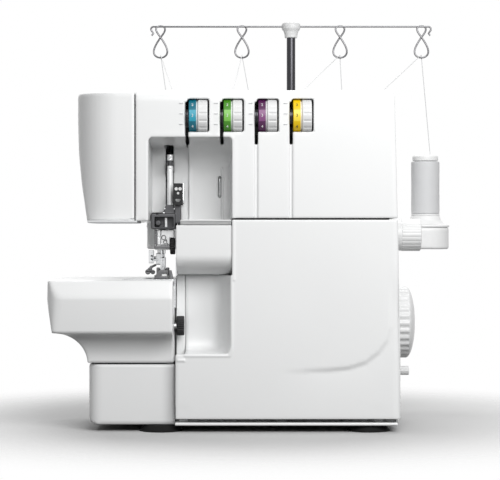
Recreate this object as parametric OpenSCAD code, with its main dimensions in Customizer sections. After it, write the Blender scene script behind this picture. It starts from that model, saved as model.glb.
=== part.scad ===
// Serger overlock machine. Millimetres, +Z up, front towards -Y, origin under the middle.

/* [Body] */
// Left face of the main body, where the head cover starts
body_left = -115; // [-118:0.5:-112]
// Left face of the column under the head
column_left = -79; // [-82:0.5:-78]
// Right face of the body at its foot
body_right = 125.8; // [122:0.2:130]
// How far the right face leans in at the top
body_lean = 6.3; // [2:0.1:8]
// Height of the body
body_top = 310; // [306:1:316]
// Distance of the front face in front of the origin
body_front = 120; // [118:0.5:122]
// Distance of the rear face behind the origin
body_rear = 45; // [44:0.5:50]
// Thickness of the plastic shells
shell = 2.8; // [2.2:0.1:3.2]
// Gap between neighbouring covers
panel_gap = 1.2; // [0.8:0.1:1.6]
// Radius of the front upper edge
front_edge_r = 12; // [6:1:16]
// Radius of the rear upper edge
rear_edge_r = 24; // [10:1:30]
// Radius of the upright corners
corner_r = 8; // [5:1:12]
// Distance of the cover seam behind the front face
seam_depth = 90; // [84:1:94]

/* [Feet and base] */
// Height of the rubber feet
foot_h = 6; // [5:0.5:8]
// Radius of a rubber foot at the table
foot_r = 20; // [16:0.5:21]
// Radius of a rubber foot at the base
foot_top_r = 15; // [10:0.5:15.5]
// Left face of the base under the cloth plate
base_left = -158.4; // [-162:0.5:-154]
// Top of the base under the cloth plate
base_top = 61; // [58:0.5:64]
// Thickness of the base floor
floor_t = 3; // [2.5:0.1:3.6]

/* [Head cover] */
// Width of the head cover
head_w = 55; // [48:1:60]
// Height of the head's underside
head_bottom = 190.8; // [188:0.2:193]
// How much lower the head cover's top lies than the body's
head_step = 4; // [2:0.5:6]
// How far the head's left side draws in at its foot
head_taper = 11; // [4:1:16]
// Radius of the head's front corner seen from above
head_front_r = 38; // [20:1:44]
// Radius of the head's rear corner seen from above
head_rear_r = 26; // [12:1:34]

/* [Needle pocket] */
// Left face of the pocket
pocket_left = -102.5; // [-105:0.5:-101]
// Right face of the pocket, which is also the left edge of the door
pocket_right = -27.2; // [-30:0.2:-24]
// Top of the pocket
pocket_top = 266.4; // [264:0.2:267]
// Depth of the pocket
pocket_depth = 58; // [56:0.5:59]
// Height of the shelf that closes the pocket at its foot
shelf_h = 5; // [4:0.5:7]

/* [Door] */
// Top edge of the door
door_top = 192; // [190.5:0.1:192.2]
// Lower edge of the door
door_bottom = 12; // [11.6:0.1:13]
// Upper edge of the front panel under the trimming bay
bay_bottom = 66.6; // [63:0.2:70]
// Depth of the trimming bay
bay_depth = 36; // [30:0.5:37]
// Left edge of the bay's back wall
bay_left = -70.4; // [-70.6:0.1:-68]
// How far the bay's right wall slants in
bay_slant = 11.6; // [6:0.2:14]
// Diameter of the hinge rod
hinge_d = 3; // [2.5:0.1:3.4]
// Height of the hinge axis
hinge_z = 16; // [15.8:0.1:16.6]
// Distance of the hinge axis behind the front face
hinge_back = 5; // [4.8:0.1:5.4]
// Sideways travel that frees the door
door_travel = 6; // [4:0.5:7]

/* [Cloth plate] */
// Left edge of the cloth plate
cloth_left = -194; // [-198:0.5:-190]
// Top of the cloth plate
cloth_top = 138.1; // [137:0.1:139]
// How far the apron stands in front of the body
apron_proud = 15; // [10:0.5:17]
// Height of the crease round the apron
apron_crease = 121.2; // [118:0.2:124]
// Lower edge of the apron
apron_bottom = 90; // [86:0.5:96]
// How far the apron's side slopes in to its lower edge
apron_slope = 5.5; // [2:0.5:8]
// Rear face of the cloth plate cover
cloth_rear = 32; // [28:0.5:40]
// Thickness of the needle plate
plate_t = 2.5; // [2:0.1:2.8]
// Width of the needle plate
plate_w = 47.4; // [44:0.2:50]
// Length of the needle plate
plate_l = 62.8; // [60:0.2:66]
// Front edge of the needle plate behind the body's front face
plate_front = 8.6; // [8:0.1:10]

/* [Needle and presser] */
// Place of the needle bar along the machine
needle_bar_x = -84.7; // [-85:0.1:-84.5]
// Distance of the needle bar behind the front face
needle_back = 40; // [39:0.5:41]
// Diameter of the needle bar
needle_bar_d = 5.6; // [5:0.1:6]
// Upper end of the needle bar
needle_bar_top = 252.5; // [251:0.5:254]
// Stroke of the needle bar
needle_stroke = 20; // [16:0.5:20]
// Lower end of the needle clamp
clamp_bottom = 164.5; // [164.5:0.1:166]
// Height of the needle clamp block
clamp_h = 14.4; // [12:0.1:14.6]
// Length of needle below the clamp
needle_l = 18.5; // [16:0.5:20]
// Diameter of a needle
needle_d = 1; // [0.8:0.1:1.2]
// Diameter of the presser bar
presser_bar_d = 6; // [5:0.1:6.4]
// Place of the presser bar along the machine
presser_x = -95; // [-96:0.1:-94.6]
// Distance of the presser bar behind the front face
presser_back = 67; // [66.5:0.1:68]
// Width of the presser foot's toe
toe_w = 17.3; // [15:0.1:17.4]
// Length of the presser foot's sole
sole_l = 46; // [42:0.5:48]

/* [Drive] */
// Height of the main shaft
shaft_z = 95; // [93:0.5:98]
// Place of the main shaft front to back
shaft_y = -10; // [-14:0.5:-8]
// Diameter of the main shaft
shaft_d = 10; // [8:0.5:12]
// Diameter of the handwheel
wheel_d = 68.8; // [60:0.2:72]
// Width of the handwheel
wheel_w = 20.5; // [16:0.5:24]
// Diameter of the shaft's pulley
big_pulley_d = 44; // [38:1:48]
// Diameter of the motor's pulley
small_pulley_d = 16; // [14:1:20]
// Thickness of the belt
belt_t = 2; // [1.5:0.1:2.4]
// Diameter of the motor
motor_d = 58; // [50:1:60]
// Length of the motor
motor_l = 78; // [60:1:80]
// Running clearance on the radius of a shaft in its bore
run_fit = 0.05; // [0.02:0.01:0.1]

/* [Controls] */
// Spacing of the tension dials
dial_pitch = 31.35; // [29:0.05:32]
// Left edge of the first thread slot
slot_first = -69.4; // [-70.5:0.1:-68]
// Width of a thread slot
slot_w = 2.8; // [2:0.1:3]
// Radius of a tension dial
dial_r = 16.5; // [15:0.1:16.6]
// Width of a tension dial
dial_w = 16.8; // [14:0.1:17]
// How far a dial stands out of the front face
dial_proud = 4; // [2:0.5:5]
// Height of the dials' axis
dial_z = 285.6; // [285:0.1:286.4]
// Diameter of the stitch-length dial
stitch_d = 30.6; // [24:0.2:32]
// How far the stitch-length dial stands out
stitch_w = 28; // [18:0.5:30]
// Height of the stitch-length dial
stitch_z = 178.5; // [174:0.5:180]
// Diameter of the differential-feed knob
feed_knob_d = 8.6; // [7:0.1:12]
// Height of the differential-feed knob
feed_knob_z = 49; // [45:0.5:52]
// Diameter of the cutting-width knob
width_knob_d = 17.8; // [14:0.2:18.4]

/* [Thread stand] */
// Distance of the spool pins behind the origin
stand_y = 110.5; // [106:0.5:114]
// Underside of the spool stand
stand_z = 164.3; // [160:0.1:168]
// Thickness of the spool stand
stand_t = 22.4; // [14:0.2:24]
// Half of the spool stand's depth
stand_r = 24; // [20:0.5:26]
// Place of the right spool pin
pin_right = 169.5; // [166:0.1:172]
// Spacing of the spool pins
pin_pitch = 87.5; // [86:0.1:88]
// Radius of a spool seat
seat_r = 24.5; // [20:0.1:26]
// Radius of a spool's winding
winding_r = 14.6; // [10:0.1:16]
// Height of a spool's winding
winding_h = 54; // [40:0.5:60]
// Place of the antenna pole
pole_x = 31.2; // [30:0.2:34]
// Diameter of the antenna's upper tube
pole_d = 8.9; // [7:0.1:9.2]
// Travel of the antenna's upper tube
pole_travel = 45; // [20:1:47]
// Top of the antenna's cap
cap_top = 397; // [390:0.2:400]
// Diameter of the antenna's wire
wire_d = 1.8; // [1.4:0.1:2.2]
// Distance of the inner thread guides from the pole
guide_inner = 50.5; // [46:0.5:54]
// Distance of the outer thread guides from the pole
guide_outer = 134.3; // [130:0.1:138]
// Diameter of a thread
thread_d = 0.6; // [0.4:0.1:0.8]

/* [Hidden] */
$fn = 64;
eps = 0.01;
steps = 6;

front_y = -body_front;
seam_y = front_y + seam_depth;
needle_y = front_y + needle_back;
presser_y = front_y + presser_back;
pocket_back = front_y + pocket_depth;
hinge_y = front_y + hinge_back;
bay_y = front_y + bay_depth;
lean_z = base_top + 5;
door_left = column_left + 2;
door_skirt = 20;
split_z = door_top + panel_gap;
head_top = body_top - head_step;
head_left = body_left - head_w;
shelf_top = door_top;
shelf_z = shelf_top - shelf_h;
shelf_left = column_left + 5;
floor_z = foot_h + floor_t;
frame_z = floor_z + 5;
frame_t = 6;
plate_z = cloth_top - plate_t;
plate_right = column_left - 1;
plate_left = plate_right - plate_w;
plate_y = front_y + plate_front;
plate_rear = plate_y + plate_l;
seat_clear = 0.3;

// ---- helpers ----

// Points of an arc from angle a0 to a1 about [x, y]
function arc(x, y, r, a0, a1, n = steps) =
    [for (i = [0:n]) let (a = a0 + (a1 - a0) * i / n) [x + r * cos(a), y + r * sin(a)]];

// Points of an elliptic arc with half axes rx and ry
function oval_arc(x, y, rx, ry, a0, a1, n = steps) =
    [for (i = [0:n]) let (a = a0 + (a1 - a0) * i / n) [x + rx * cos(a), y + ry * sin(a)]];

// Right face of the body at height z
function right_face(z) =
    body_right - body_lean * max(0, z - lean_z) / (body_top - lean_z);

// Box between two opposite corners
module block(low, high) {
    translate(low) cube(high - low);
}

// Extrudes an X-Z outline from y0 to y1
module along_y(y0, y1) {
    translate([0, y1, 0]) rotate([90, 0, 0]) linear_extrude(y1 - y0) children();
}

// Extrudes a Y-Z outline from x0 to x1
module along_x(x0, x1) {
    translate([x0, 0, 0]) rotate([90, 0, 90]) linear_extrude(x1 - x0) children();
}

// Extrudes an X-Y outline from z0 to z1
module along_z(z0, z1) {
    translate([0, 0, z0]) linear_extrude(z1 - z0) children();
}

// Round rod along X, from x0 to x1
module rod_x(x0, x1, y, z, d) {
    translate([x0, y, z]) rotate([0, 90, 0]) cylinder(h = x1 - x0, d = d);
}

// Round rod along Y, from y0 to y1
module rod_y(y0, y1, x, z, d) {
    translate([x, y1, z]) rotate([90, 0, 0]) cylinder(h = y1 - y0, d = d);
}

// Round rod along Z, from z0 to z1
module rod_z(z0, z1, x, y, d) {
    translate([x, y, z0]) cylinder(h = z1 - z0, d = d);
}

// Straight round wire between two points
module wire(a, b, d) {
    v = b - a;
    l = norm(v);
    translate(a)
        rotate([0, acos(v[2] / l), atan2(v[1], v[0])])
            cylinder(h = l, d = d, $fn = 16);
}

// ---- outer form of the body ----

// Front outline of the body, drawn in by d
function body_outline(d) = concat(
    [[column_left + d, foot_h + d], [body_right - d, foot_h + d], [body_right - d, lean_z]],
    arc(right_face(body_top) - 6, body_top - 6, 6 - d, 0, 90),
    [[body_left + d, body_top - d], [body_left + d, head_bottom + d],
     [column_left + d, head_bottom + d]]);

// Side outline of the body, drawn in by d
function side_outline(d) = concat(
    [[front_y + d, foot_h + d], [body_rear - d, foot_h + d]],
    arc(body_rear - rear_edge_r, body_top - rear_edge_r, rear_edge_r - d, 0, 90),
    arc(front_y + front_edge_r, body_top - front_edge_r, front_edge_r - d, 90, 180));

// Top outline of the body, drawn in by d
function top_outline(d) = concat(
    [[body_left + d, front_y + d]],
    arc(body_right - corner_r, front_y + corner_r, corner_r - d, -90, 0),
    arc(body_right - corner_r, body_rear - corner_r, corner_r - d, 0, 90),
    [[body_left + d, body_rear - d]]);

module body_form(d) {
    intersection() {
        along_y(front_y, body_rear) polygon(body_outline(d));
        along_x(body_left, body_right) polygon(side_outline(d));
        along_z(foot_h, body_top) polygon(top_outline(d));
    }
}

module body_shell() {
    difference() {
        body_form(0);
        body_form(shell);
    }
}

// ---- covers ----

slot_bottom = dial_z - 25.6;
window_bottom = dial_z - 14.4;
window_top = dial_z + 14;
window_w = 21.5;
groove_depth = 1.2;
ceiling_drop = 7.4;
take_slot_w = 8.6;
take_slot_z = [206, 262];

function slot_x(i) = slot_first + dial_pitch * i;

// Side outline of the needle pocket, drawn out by d
function pocket_outline(d) = [
    [front_y - 1, pocket_top + d], [pocket_back + d, pocket_top - ceiling_drop + d],
    [pocket_back + d, shelf_z - 8], [front_y - 1, shelf_z - 8]];

module pocket(d) {
    along_x(pocket_left - d, pocket_right + d) polygon(pocket_outline(d));
}

module front_cover() {
    color([0.96, 0.96, 0.96])
    difference() {
        union() {
            intersection() {
                body_shell();
                union() {
                    block([body_left, front_y, split_z],
                          [body_right, seam_y - panel_gap / 4, body_top]);
                    block([body_left, front_y, head_bottom],
                          [column_left + shell, seam_y - panel_gap / 4, split_z + 1]);
                    block([column_left, front_y, shelf_z],
                          [pocket_right, pocket_back + shell, split_z + 1]);
                }
            }
            intersection() {
                pocket(shell);
                union() {
                    block([pocket_left - shell, front_y + 1, head_bottom],
                          [shelf_left, pocket_back + shell, body_top]);
                    block([shelf_left - 1, front_y + 1, shelf_z],
                          [pocket_right - 0.4, pocket_back + shell, body_top]);
                    block([pocket_right - 1, front_y + 1, split_z],
                          [pocket_right + shell, pocket_back + shell, body_top]);
                }
            }
        }
        pocket(0);
        for (i = [0:3]) {
            block([slot_x(i), front_y - 1, slot_bottom],
                  [slot_x(i) + slot_w, front_y + shell + 8, dial_z + 12.4]);
            block([slot_x(i) + slot_w - eps, front_y - 1, window_bottom],
                  [slot_x(i) + window_w, front_y + shell + 1, window_top]);
        }
        for (i = [2, 3])
            block([slot_x(i), front_y - 1, split_z - 1],
                  [slot_x(i) + slot_w, front_y + groove_depth, slot_bottom + 1]);
        block([needle_bar_x - take_slot_w / 2, pocket_back - 1, take_slot_z[0]],
              [needle_bar_x + take_slot_w / 2, pocket_back + shell + 1, take_slot_z[1]]);
        // room for the guide casting and the presser bar behind the pocket
        block([pocket_left, pocket_back - 1, head_bottom - 1],
              [needle_bar_x + 9, seam_y + 1, head_bottom + 8]);
    }
    color([0.96, 0.96, 0.96])
    block([shelf_left, front_y + 0.6, shelf_z], [pocket_right - 0.4, pocket_back + 1, shelf_top]);
}

grip_w = 110;
grip_x = 5;
grip_y = 2;
grip_depth = 26;
grip_h = 30;

module rear_cover() {
    color([0.95, 0.95, 0.95])
    difference() {
        union() {
            intersection() {
                body_shell();
                union() {
                    block([body_left, seam_y + panel_gap / 4, head_bottom],
                          [body_right, body_rear, body_top]);
                    block([column_left, front_y + door_skirt + panel_gap + 2, foot_h],
                          [body_right, body_rear, door_top]);
                }
            }
            // walls of the hand grip
            intersection() {
                body_form(0);
                block([grip_x - grip_w / 2 - shell, grip_y - shell, body_top - grip_h - shell],
                      [grip_x + grip_w / 2 + shell, grip_y + grip_depth + shell, body_top]);
            }
        }
        // the hand grip itself
        block([grip_x - grip_w / 2, grip_y, body_top - grip_h],
              [grip_x + grip_w / 2, grip_y + grip_depth, body_top + 1]);
        // the left side is open between the guard and the column for the knife carrier
        block([column_left - 1, front_y, floor_z + 3],
              [column_left + shell + 1, guard_rear + 16, head_bottom - 0.5]);
        block([column_left - 1, front_y, foot_h - 1],
              [column_left + shell + 1, cloth_rear + 1, base_top + 76]);
        block([column_left - 1, front_y, head_bottom - panel_gap / 2],
              [column_left + shell + 1, seam_y + panel_gap / 4, door_top + 1]);
        rod_x(body_right - 20, body_right + 5, shaft_y, shaft_z, shaft_d + 4);
        rod_x(body_right - 20, body_right + 5, stitch_y, stitch_z, 10);
        rod_x(body_right - 20, body_right + 5, stitch_y, feed_knob_z, 7);
        block([body_right - 8, switch_y - 8, switch_z - 6],
              [body_right + 2, switch_y + 8, switch_z + 6]);
        block([body_right - 8, inlet_y - 12, inlet_z - 9], [body_right + 2, inlet_y + 12, inlet_z + 9]);
        rod_y(body_rear - 8, body_rear + 2, lifter_x, lifter_z, 7);
        // seat of the base pan
        block([column_left - 1, front_y, foot_h - 1],
              [right_face(foot_h) - shell - seat_clear + 0.3, body_rear - shell, floor_z]);
        for (s = screw_spots)
            rod_y(body_rear - 6, body_rear + 2, s[0], s[1], screw_d);
    }
}

// Front outline of the head cover, drawn in by d
function head_outline(d) = concat(
    [[body_left - panel_gap / 2, head_bottom + d], [body_left - panel_gap / 2, head_top - d]],
    arc(head_left + 8, head_top - 8, 8 - d, 90, 172),
    [[head_left + d, head_top - 22], [head_left + 1.5 + d, head_bottom + 64],
     [head_left + 5 + d, head_bottom + 36], [head_left + head_taper + d, head_bottom + d]]);

// Top outline of the head cover, drawn in by d
function head_plan(d) = concat(
    [[body_left, front_y + 1 + d], [body_left, body_rear - 1 - d]],
    arc(head_left + head_rear_r, body_rear - 1 - head_rear_r, head_rear_r - d, 90, 180),
    arc(head_left + head_front_r, front_y + 1 + head_front_r, head_front_r - d, 180, 270));

module head_form(d) {
    intersection() {
        along_y(front_y, body_rear) polygon(head_outline(d));
        along_z(head_bottom, head_top) polygon(head_plan(d));
    }
}

lamp_x = -136;
lamp_y = -82;
lamp_w = 30;
lamp_l = 26;

module face_cover() {
    color([0.95, 0.95, 0.95])
    difference() {
        head_form(0);
        head_form(shell);
        block([lamp_x - lamp_w / 2, lamp_y - lamp_l / 2, head_bottom - 1],
              [lamp_x + lamp_w / 2, lamp_y + lamp_l / 2, head_bottom + shell + 1]);
    }
}

// Front outline of the cloth plate cover, drawn in by d
function cloth_outline(d) = concat(
    [[column_left - 0.4, base_top + 0.5], [column_left - 0.4, cloth_top - d]],
    [[cloth_left + 3, cloth_top - d], [cloth_left + d, cloth_top - 3], [cloth_left + d, apron_crease]],
    oval_arc(cloth_left + apron_slope + d, base_top + 0.5, base_left - cloth_left - apron_slope,
             apron_bottom - base_top - 0.5, 90, 0));

// Side outline of the cloth plate cover, drawn in by d
function cloth_side(d) = concat(
    [[cloth_rear - d, base_top + 0.5], [cloth_rear - d, cloth_top - d],
     [front_y - apron_proud + 4, cloth_top - d], [front_y - apron_proud + d, apron_crease]],
    oval_arc(front_y - apron_proud + 2 + d, base_top + 0.5, apron_proud + 6,
             apron_bottom - base_top - 0.5, 90, 0));

module cloth_form(d) {
    intersection() {
        along_y(front_y - apron_proud, cloth_rear) polygon(cloth_outline(d));
        along_x(cloth_left, column_left) polygon(cloth_side(d));
        along_z(base_top, cloth_top)
            polygon(concat([[column_left, front_y - apron_proud + d], [column_left, cloth_rear - d]],
                arc(cloth_left + 20, cloth_rear - 20, 20 - d, 90, 180),
                arc(cloth_left + 16, front_y - apron_proud + 16, 16 - d, 180, 270)));
    }
}

module cloth_plate_cover() {
    color([0.95, 0.95, 0.95])
    difference() {
        cloth_form(0);
        cloth_form(shell);
        block([plate_left - 0.6, plate_y - 0.6, plate_z - 6],
              [column_left + 1, plate_rear + 0.6, cloth_top + 1]);
    }
}

guard_left = column_left + 1.4;
guard_top = shelf_z;
guard_front = front_y + 2;
guard_knee = 160;
guard_low = 142;
guard_rear = front_y + 58;

guard_bend = 32;

// Side outline of the knife guard, drawn in by d
function guard_outline(d) = concat(
    [[guard_rear, guard_top], [guard_front + d, guard_top]],
    oval_arc(guard_front + guard_bend, guard_knee, guard_bend - d, guard_knee - guard_low - d, 180, 270),
    [[guard_rear, guard_low + d]]);

module knife_guard() {
    color([0.94, 0.94, 0.94])
    difference() {
        along_x(guard_left, pocket_right - 0.4) polygon(guard_outline(0));
        along_x(guard_left + 2.4, pocket_right - 2.8)
            polygon(concat([[guard_rear + 1, guard_top + 1], [guard_front + 2.4, guard_top + 1]],
                oval_arc(guard_front + guard_bend, guard_knee, guard_bend - 2.4,
                         guard_knee - guard_low - 2.4, 180, 270),
                [[guard_rear + 1, guard_low + 2.4]]));
    }
}

// ---- door ----

lug_w = 8;
door_lugs = [door_left + 12, body_right - 40];
pan_lugs = [door_left + 2, body_right - 24];
lug_r = 2.6;
pan_right = right_face(0) - shell - seat_clear;
pan_wall_y = front_y + 28;
bay_top = guard_low - 3;
base_front = front_y + 12;

// Top outline of the trimming bay's walls: the back wall and the slanting right wall
function bay_plan(d) = [
    [bay_left, bay_y], [pocket_right - bay_slant, bay_y], [pocket_right - bay_slant * 0.75, bay_y - 9],
    [pocket_right - bay_slant * 0.2, front_y + 8], [pocket_right, front_y],
    [pocket_right + d, front_y], [pocket_right + d, front_y + 8],
    [pocket_right - bay_slant + d + 2, bay_y - 6], [pocket_right - bay_slant + d, bay_y + d],
    [bay_left, bay_y + d]];

module looper_cover() {
    color([0.96, 0.96, 0.96])
    difference() {
        union() {
            // front skin and right skirt
            intersection() {
                difference() {
                    body_form(0);
                    body_form(shell);
                }
                union() {
                    block([pocket_right, front_y, door_bottom],
                          [body_right, front_y + door_skirt, door_top]);
                    block([door_left, front_y, door_bottom],
                          [pocket_right + 1, front_y + shell, bay_bottom]);
                }
            }
            // side wall beside the knife guard
            along_z(bay_top, door_top)
                polygon([[pocket_right, front_y], [pocket_right + shell, front_y],
                         [pocket_right + shell, front_y + 10], [pocket_right, front_y + 10]]);
            // lugs on the hinge rod
            for (x = door_lugs) {
                rod_x(x, x + lug_w, hinge_y, hinge_z, lug_r * 2 + 2);
                block([x, front_y + 1, hinge_z], [x + lug_w, hinge_y + lug_r, hinge_z + 14]);
            }
        }
        for (x = door_lugs)
            rod_x(x - 1, x + lug_w + 1, hinge_y, hinge_z, hinge_d + 2 * run_fit);
        // the front faces of the pan's lugs stay clear
        for (x = pan_lugs)
            block([x - door_travel - 1, front_y + 2, door_bottom - 2],
                  [x + lug_w + 1, hinge_y + 8, hinge_z + 8]);
    }
}

// Walls and floor of the trimming bay behind the door's skin
module door_bay() {
    color([0.96, 0.96, 0.96])
    difference() {
        union() {
            along_z(bay_bottom - shell, bay_top) polygon(bay_plan(shell));
            block([door_left, front_y, bay_bottom - shell], [bay_left + 1, front_y + 12, bay_bottom]);
            along_z(bay_bottom - shell, bay_bottom)
                polygon([[bay_left, front_y], [pocket_right + shell, front_y],
                         [pocket_right - bay_slant + shell, bay_y + shell], [bay_left, bay_y + shell]]);
        }
        block([door_left - 1, front_y - 1, door_bottom], [pocket_right + 1, front_y + shell, bay_bottom]);
        block([pocket_right, front_y - 1, door_bottom], [body_right, front_y + shell, door_top]);
    }
}

module hinge_rod() {
    color([0.75, 0.75, 0.78])
    rod_x(pan_lugs[0] - 1, pan_lugs[1] + lug_w + 1, hinge_y, hinge_z, hinge_d);
}

// Floor inside the rear cover, wall behind the door, and the fixed panel that carries
// the bay's rear wall on to the column's left end
module base_pan() {
    color([0.93, 0.93, 0.93]) {
        block([column_left, front_y + 3, foot_h], [pan_right, body_rear - shell - seat_clear, floor_z]);
        block([column_left, pan_wall_y, foot_h], [pan_right, pan_wall_y + shell, bay_bottom - 9]);
        block([column_left, bay_y, foot_h], [bay_left - seat_clear, bay_y + shell, bay_top]);
    }
}

// Brackets in front of the pan that hold the hinge rod
module hinge_brackets() {
    color([0.93, 0.93, 0.93])
    difference() {
        for (x = pan_lugs) {
            rod_x(x, x + lug_w, hinge_y, hinge_z, lug_r * 2);
            block([x, hinge_y, hinge_z - lug_r], [x + lug_w, hinge_y + 10, hinge_z + lug_r]);
            block([x, hinge_y + 7, floor_z], [x + lug_w, hinge_y + 10, hinge_z]);
        }
        for (x = pan_lugs)
            rod_x(x - 1, x + lug_w + 1, hinge_y, hinge_z, hinge_d + 2 * run_fit);
    }
}

// Box under the cloth plate
module base_box() {
    color([0.93, 0.93, 0.93])
    difference() {
        along_y(base_front, cloth_rear)
            polygon(concat([[column_left, foot_h], [column_left, base_top], [base_left, base_top]],
                arc(base_left + 8, foot_h + 8, 8, 180, 270)));
        along_y(base_front + shell, cloth_rear - shell)
            polygon(concat([[column_left + 1, floor_z], [column_left + 1, base_top + 1],
                            [base_left + shell, base_top + 1]],
                arc(base_left + 8, floor_z + 8 - shell, 8 - shell, 180, 270)));
    }
}

foot_spots = [[-92, front_y + 22], [97, front_y + 22], [-92, body_rear - 25], [97, body_rear - 25]];

module rubber_feet() {
    color([0.1, 0.1, 0.1])
    for (p = foot_spots)
        translate([p[0], p[1], 0]) cylinder(h = foot_h, r1 = foot_r, r2 = foot_top_r);
}

screw_d = 3.2;
screw_spots = [[-105, 280], [-84, 205], [105, 280], [110, 20], [-60, 20]];

module cover_screws() {
    color([0.5, 0.5, 0.52])
    for (s = screw_spots) {
        rod_y(body_rear - shell - 8, body_rear + 0.4, s[0], s[1], screw_d - 0.4);
        rod_y(body_rear, body_rear + 2, s[0], s[1], screw_d * 2);
    }
}

// ---- frame ----

wall_mid = [-40, -34];
wall_right = [96, 102];
wall_inner = [-86, -82];
wall_end = [-142, -138];
arm_z = [215, 255];
arm_left = body_left + shell + 1.5;
rock_y = -20;
rock_z = (needle_bar_top - 9) - needle_stroke / 2;
rock_d = 8;
lifter_x = -106.5;
arm_front = rock_y + 11;
hanger_z = head_bottom + 8.4;
lifter_z = 207;
lifter_d = 5;
stitch_y = -20;
switch_y = 16;
switch_z = 62;
inlet_y = 16;
inlet_z = 34;
looper_pivot = [-116, 92];
upper_pivot = [-104, 66];
looper_shaft_d = 6;
knife_rod_d = 4;
knife_rod = [column_left + 6, guard_rear + 8];
width_knob_y = front_y + 25;
width_knob_z = 95.4;

module machine_frame() {
    color([0.62, 0.63, 0.65])
    difference() {
        union() {
            // base of the casting, on the pan's floor
            block([wall_end[0], front_y + 42, floor_z],
                  [wall_mid[0], cloth_rear - 8, frame_z + frame_t]);
            block([column_left + shell + 1, front_y + 42, floor_z],
                  [wall_right[1], body_rear - 12, frame_z + frame_t]);
            // upright walls
            for (w = [wall_mid, wall_right])
                block([w[0], front_y + 62, frame_z], [w[1], body_rear - 12, arm_z[1]]);
            block([wall_inner[0], front_y + 16, frame_z], [wall_inner[1], plate_rear, plate_z]);
            block([wall_inner[0], front_y + 16, frame_z], [wall_inner[1], cloth_rear - 8, plate_z - 2]);
            block([wall_inner[0], front_y + 16, floor_z], [wall_inner[1], front_y + 44, frame_z + 1]);
            block([wall_end[0], front_y + 42, frame_z], [wall_end[1], cloth_rear - 8, plate_z - 10]);
            // bearing wall of the loopers
            block([wall_end[0], front_y + 72, frame_z], [wall_inner[1], front_y + 80, plate_z - 10]);
            // post under the needle plate's left end
            block([plate_left + 1, front_y + 52, frame_z], [plate_left + 6, plate_rear, plate_z]);
            // upper arm
            block([arm_left, arm_front, arm_z[0]], [wall_right[1], body_rear - 16, arm_z[1]]);
            // hanger of the guide casting, with the lifter's bearing
            block([arm_left, presser_y + 10, hanger_z], [presser_x + 5, arm_front + 17, arm_z[0] + 8]);
            // upper bearing of the presser bar
            block([arm_left, arm_front, arm_z[1] - 1], [presser_x - 1, arm_front + 17, arm_z[1] + 12]);
            block([arm_left, presser_y - 5.5, arm_z[1] + 4],
                  [presser_x + 6, arm_front + 17, arm_z[1] + 12]);
            // guide of the knife carrier
            block([wall_inner[1] - 1, knife_rod[1] - 5, cloth_top - 16],
                  [knife_rod[0] + 5, knife_rod[1] + 5, cloth_top - 6]);
            // bushes of the main shaft
            for (w = [wall_mid, wall_right])
                rod_x(w[0] - 2, w[1] + 2, shaft_y, shaft_z, bush_d);
            // bearings of the rocking shaft
            block([needle_bar_x + 6, rock_y - 9, rock_z - 9],
                  [needle_bar_x + 14, rock_y + 12, rock_z + 9]);
        }
        rod_x(wall_mid[0] - 3, wall_right[1] + 3, shaft_y, shaft_z, shaft_d + 2 * run_fit);
        rod_x(needle_bar_x + 5, wall_right[1] + 1, rock_y, rock_z, rock_d + 2 * run_fit);
        rod_z(arm_z[1] - 2, arm_z[1] + 20, presser_x, presser_y, presser_bar_d + 2 * run_fit);
        rod_y(front_y + 50, front_y + 140, lifter_x, lifter_z, lifter_d + 2 * run_fit);
        rod_x(wall_right[0] - 1, wall_right[1] + 1, stitch_y, stitch_z, 5 + 2 * run_fit);
        rod_x(wall_right[0] - 1, wall_right[1] + 1, stitch_y, feed_knob_z, 4 + 2 * run_fit);
        rod_x(wall_inner[0] - 1, wall_inner[1] + 1, width_knob_y, width_knob_z, 5 + 2 * run_fit);
        for (p = [looper_pivot, upper_pivot])
            rod_y(front_y + 70, front_y + 82, p[0], p[1], looper_shaft_d + 2 * run_fit);
        rod_z(cloth_top - 17, cloth_top - 5, knife_rod[0], knife_rod[1], knife_rod_d + 2 * run_fit);
    }
}

bush_d = shaft_d + 6;

guide_z = [clamp_bottom + 4.6 + clamp_h + 0.3, 198];

module needle_bar_guide() {
    color([0.25, 0.25, 0.26])
    difference() {
        union() {
            block([pocket_left + 0.6, needle_y - 12, guide_z[0]],
                  [needle_bar_x + 5.2, presser_y + 9, guide_z[1]]);
            // ear beside the bar
            block([needle_bar_x + 5, needle_y - 9, guide_z[0] + 5],
                  [shelf_left - 0.5, needle_y + 4, guide_z[1] + 8]);
            // foot under the frame's hanger
            block([pocket_left + 1, presser_y + 8, guide_z[0]], [presser_x + 5, seam_y - 1, hanger_z]);
        }
        rod_z(guide_z[0] - 1, guide_z[1] + 1, needle_bar_x, needle_y, needle_bar_d + 2 * run_fit);
        rod_z(guide_z[0] - 1, guide_z[1] + 1, presser_x, presser_y, presser_bar_d + 2 * run_fit);
        // window in the front of the casting
        block([needle_bar_x - 15, needle_y - 13, guide_z[0] + 2.5],
              [needle_bar_x - 4, needle_y - 3, guide_z[1] - 3]);
    }
}

feed_bars = [-107, -100.5];
feed_w = 4;
feed_y = [-98, -62];
feed_slide = 2.5;
needle_xs = [-92.4, -89.8];

module needle_plate() {
    color([0.8, 0.8, 0.82])
    difference() {
        block([plate_left, plate_y, plate_z], [plate_right, plate_rear, cloth_top]);
        for (x = feed_bars)
            block([x - 0.5, feed_y[0] - feed_slide - 0.5, plate_z - 1],
                  [x + feed_w + 0.5, feed_y[1] + feed_slide + 0.5, cloth_top + 1]);
        block([needle_xs[0] - 2.2, needle_y - 2, plate_z - 1],
              [needle_xs[1] + 1.5, needle_y + 2, cloth_top + 1]);
        block([plate_right - 2, needle_y - 14, plate_z - 1],
              [plate_right + 1, needle_y - 3, cloth_top + 1]);
    }
}

// ---- drive ----

wheel_x = right_face(shaft_z) + 1.6;

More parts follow.
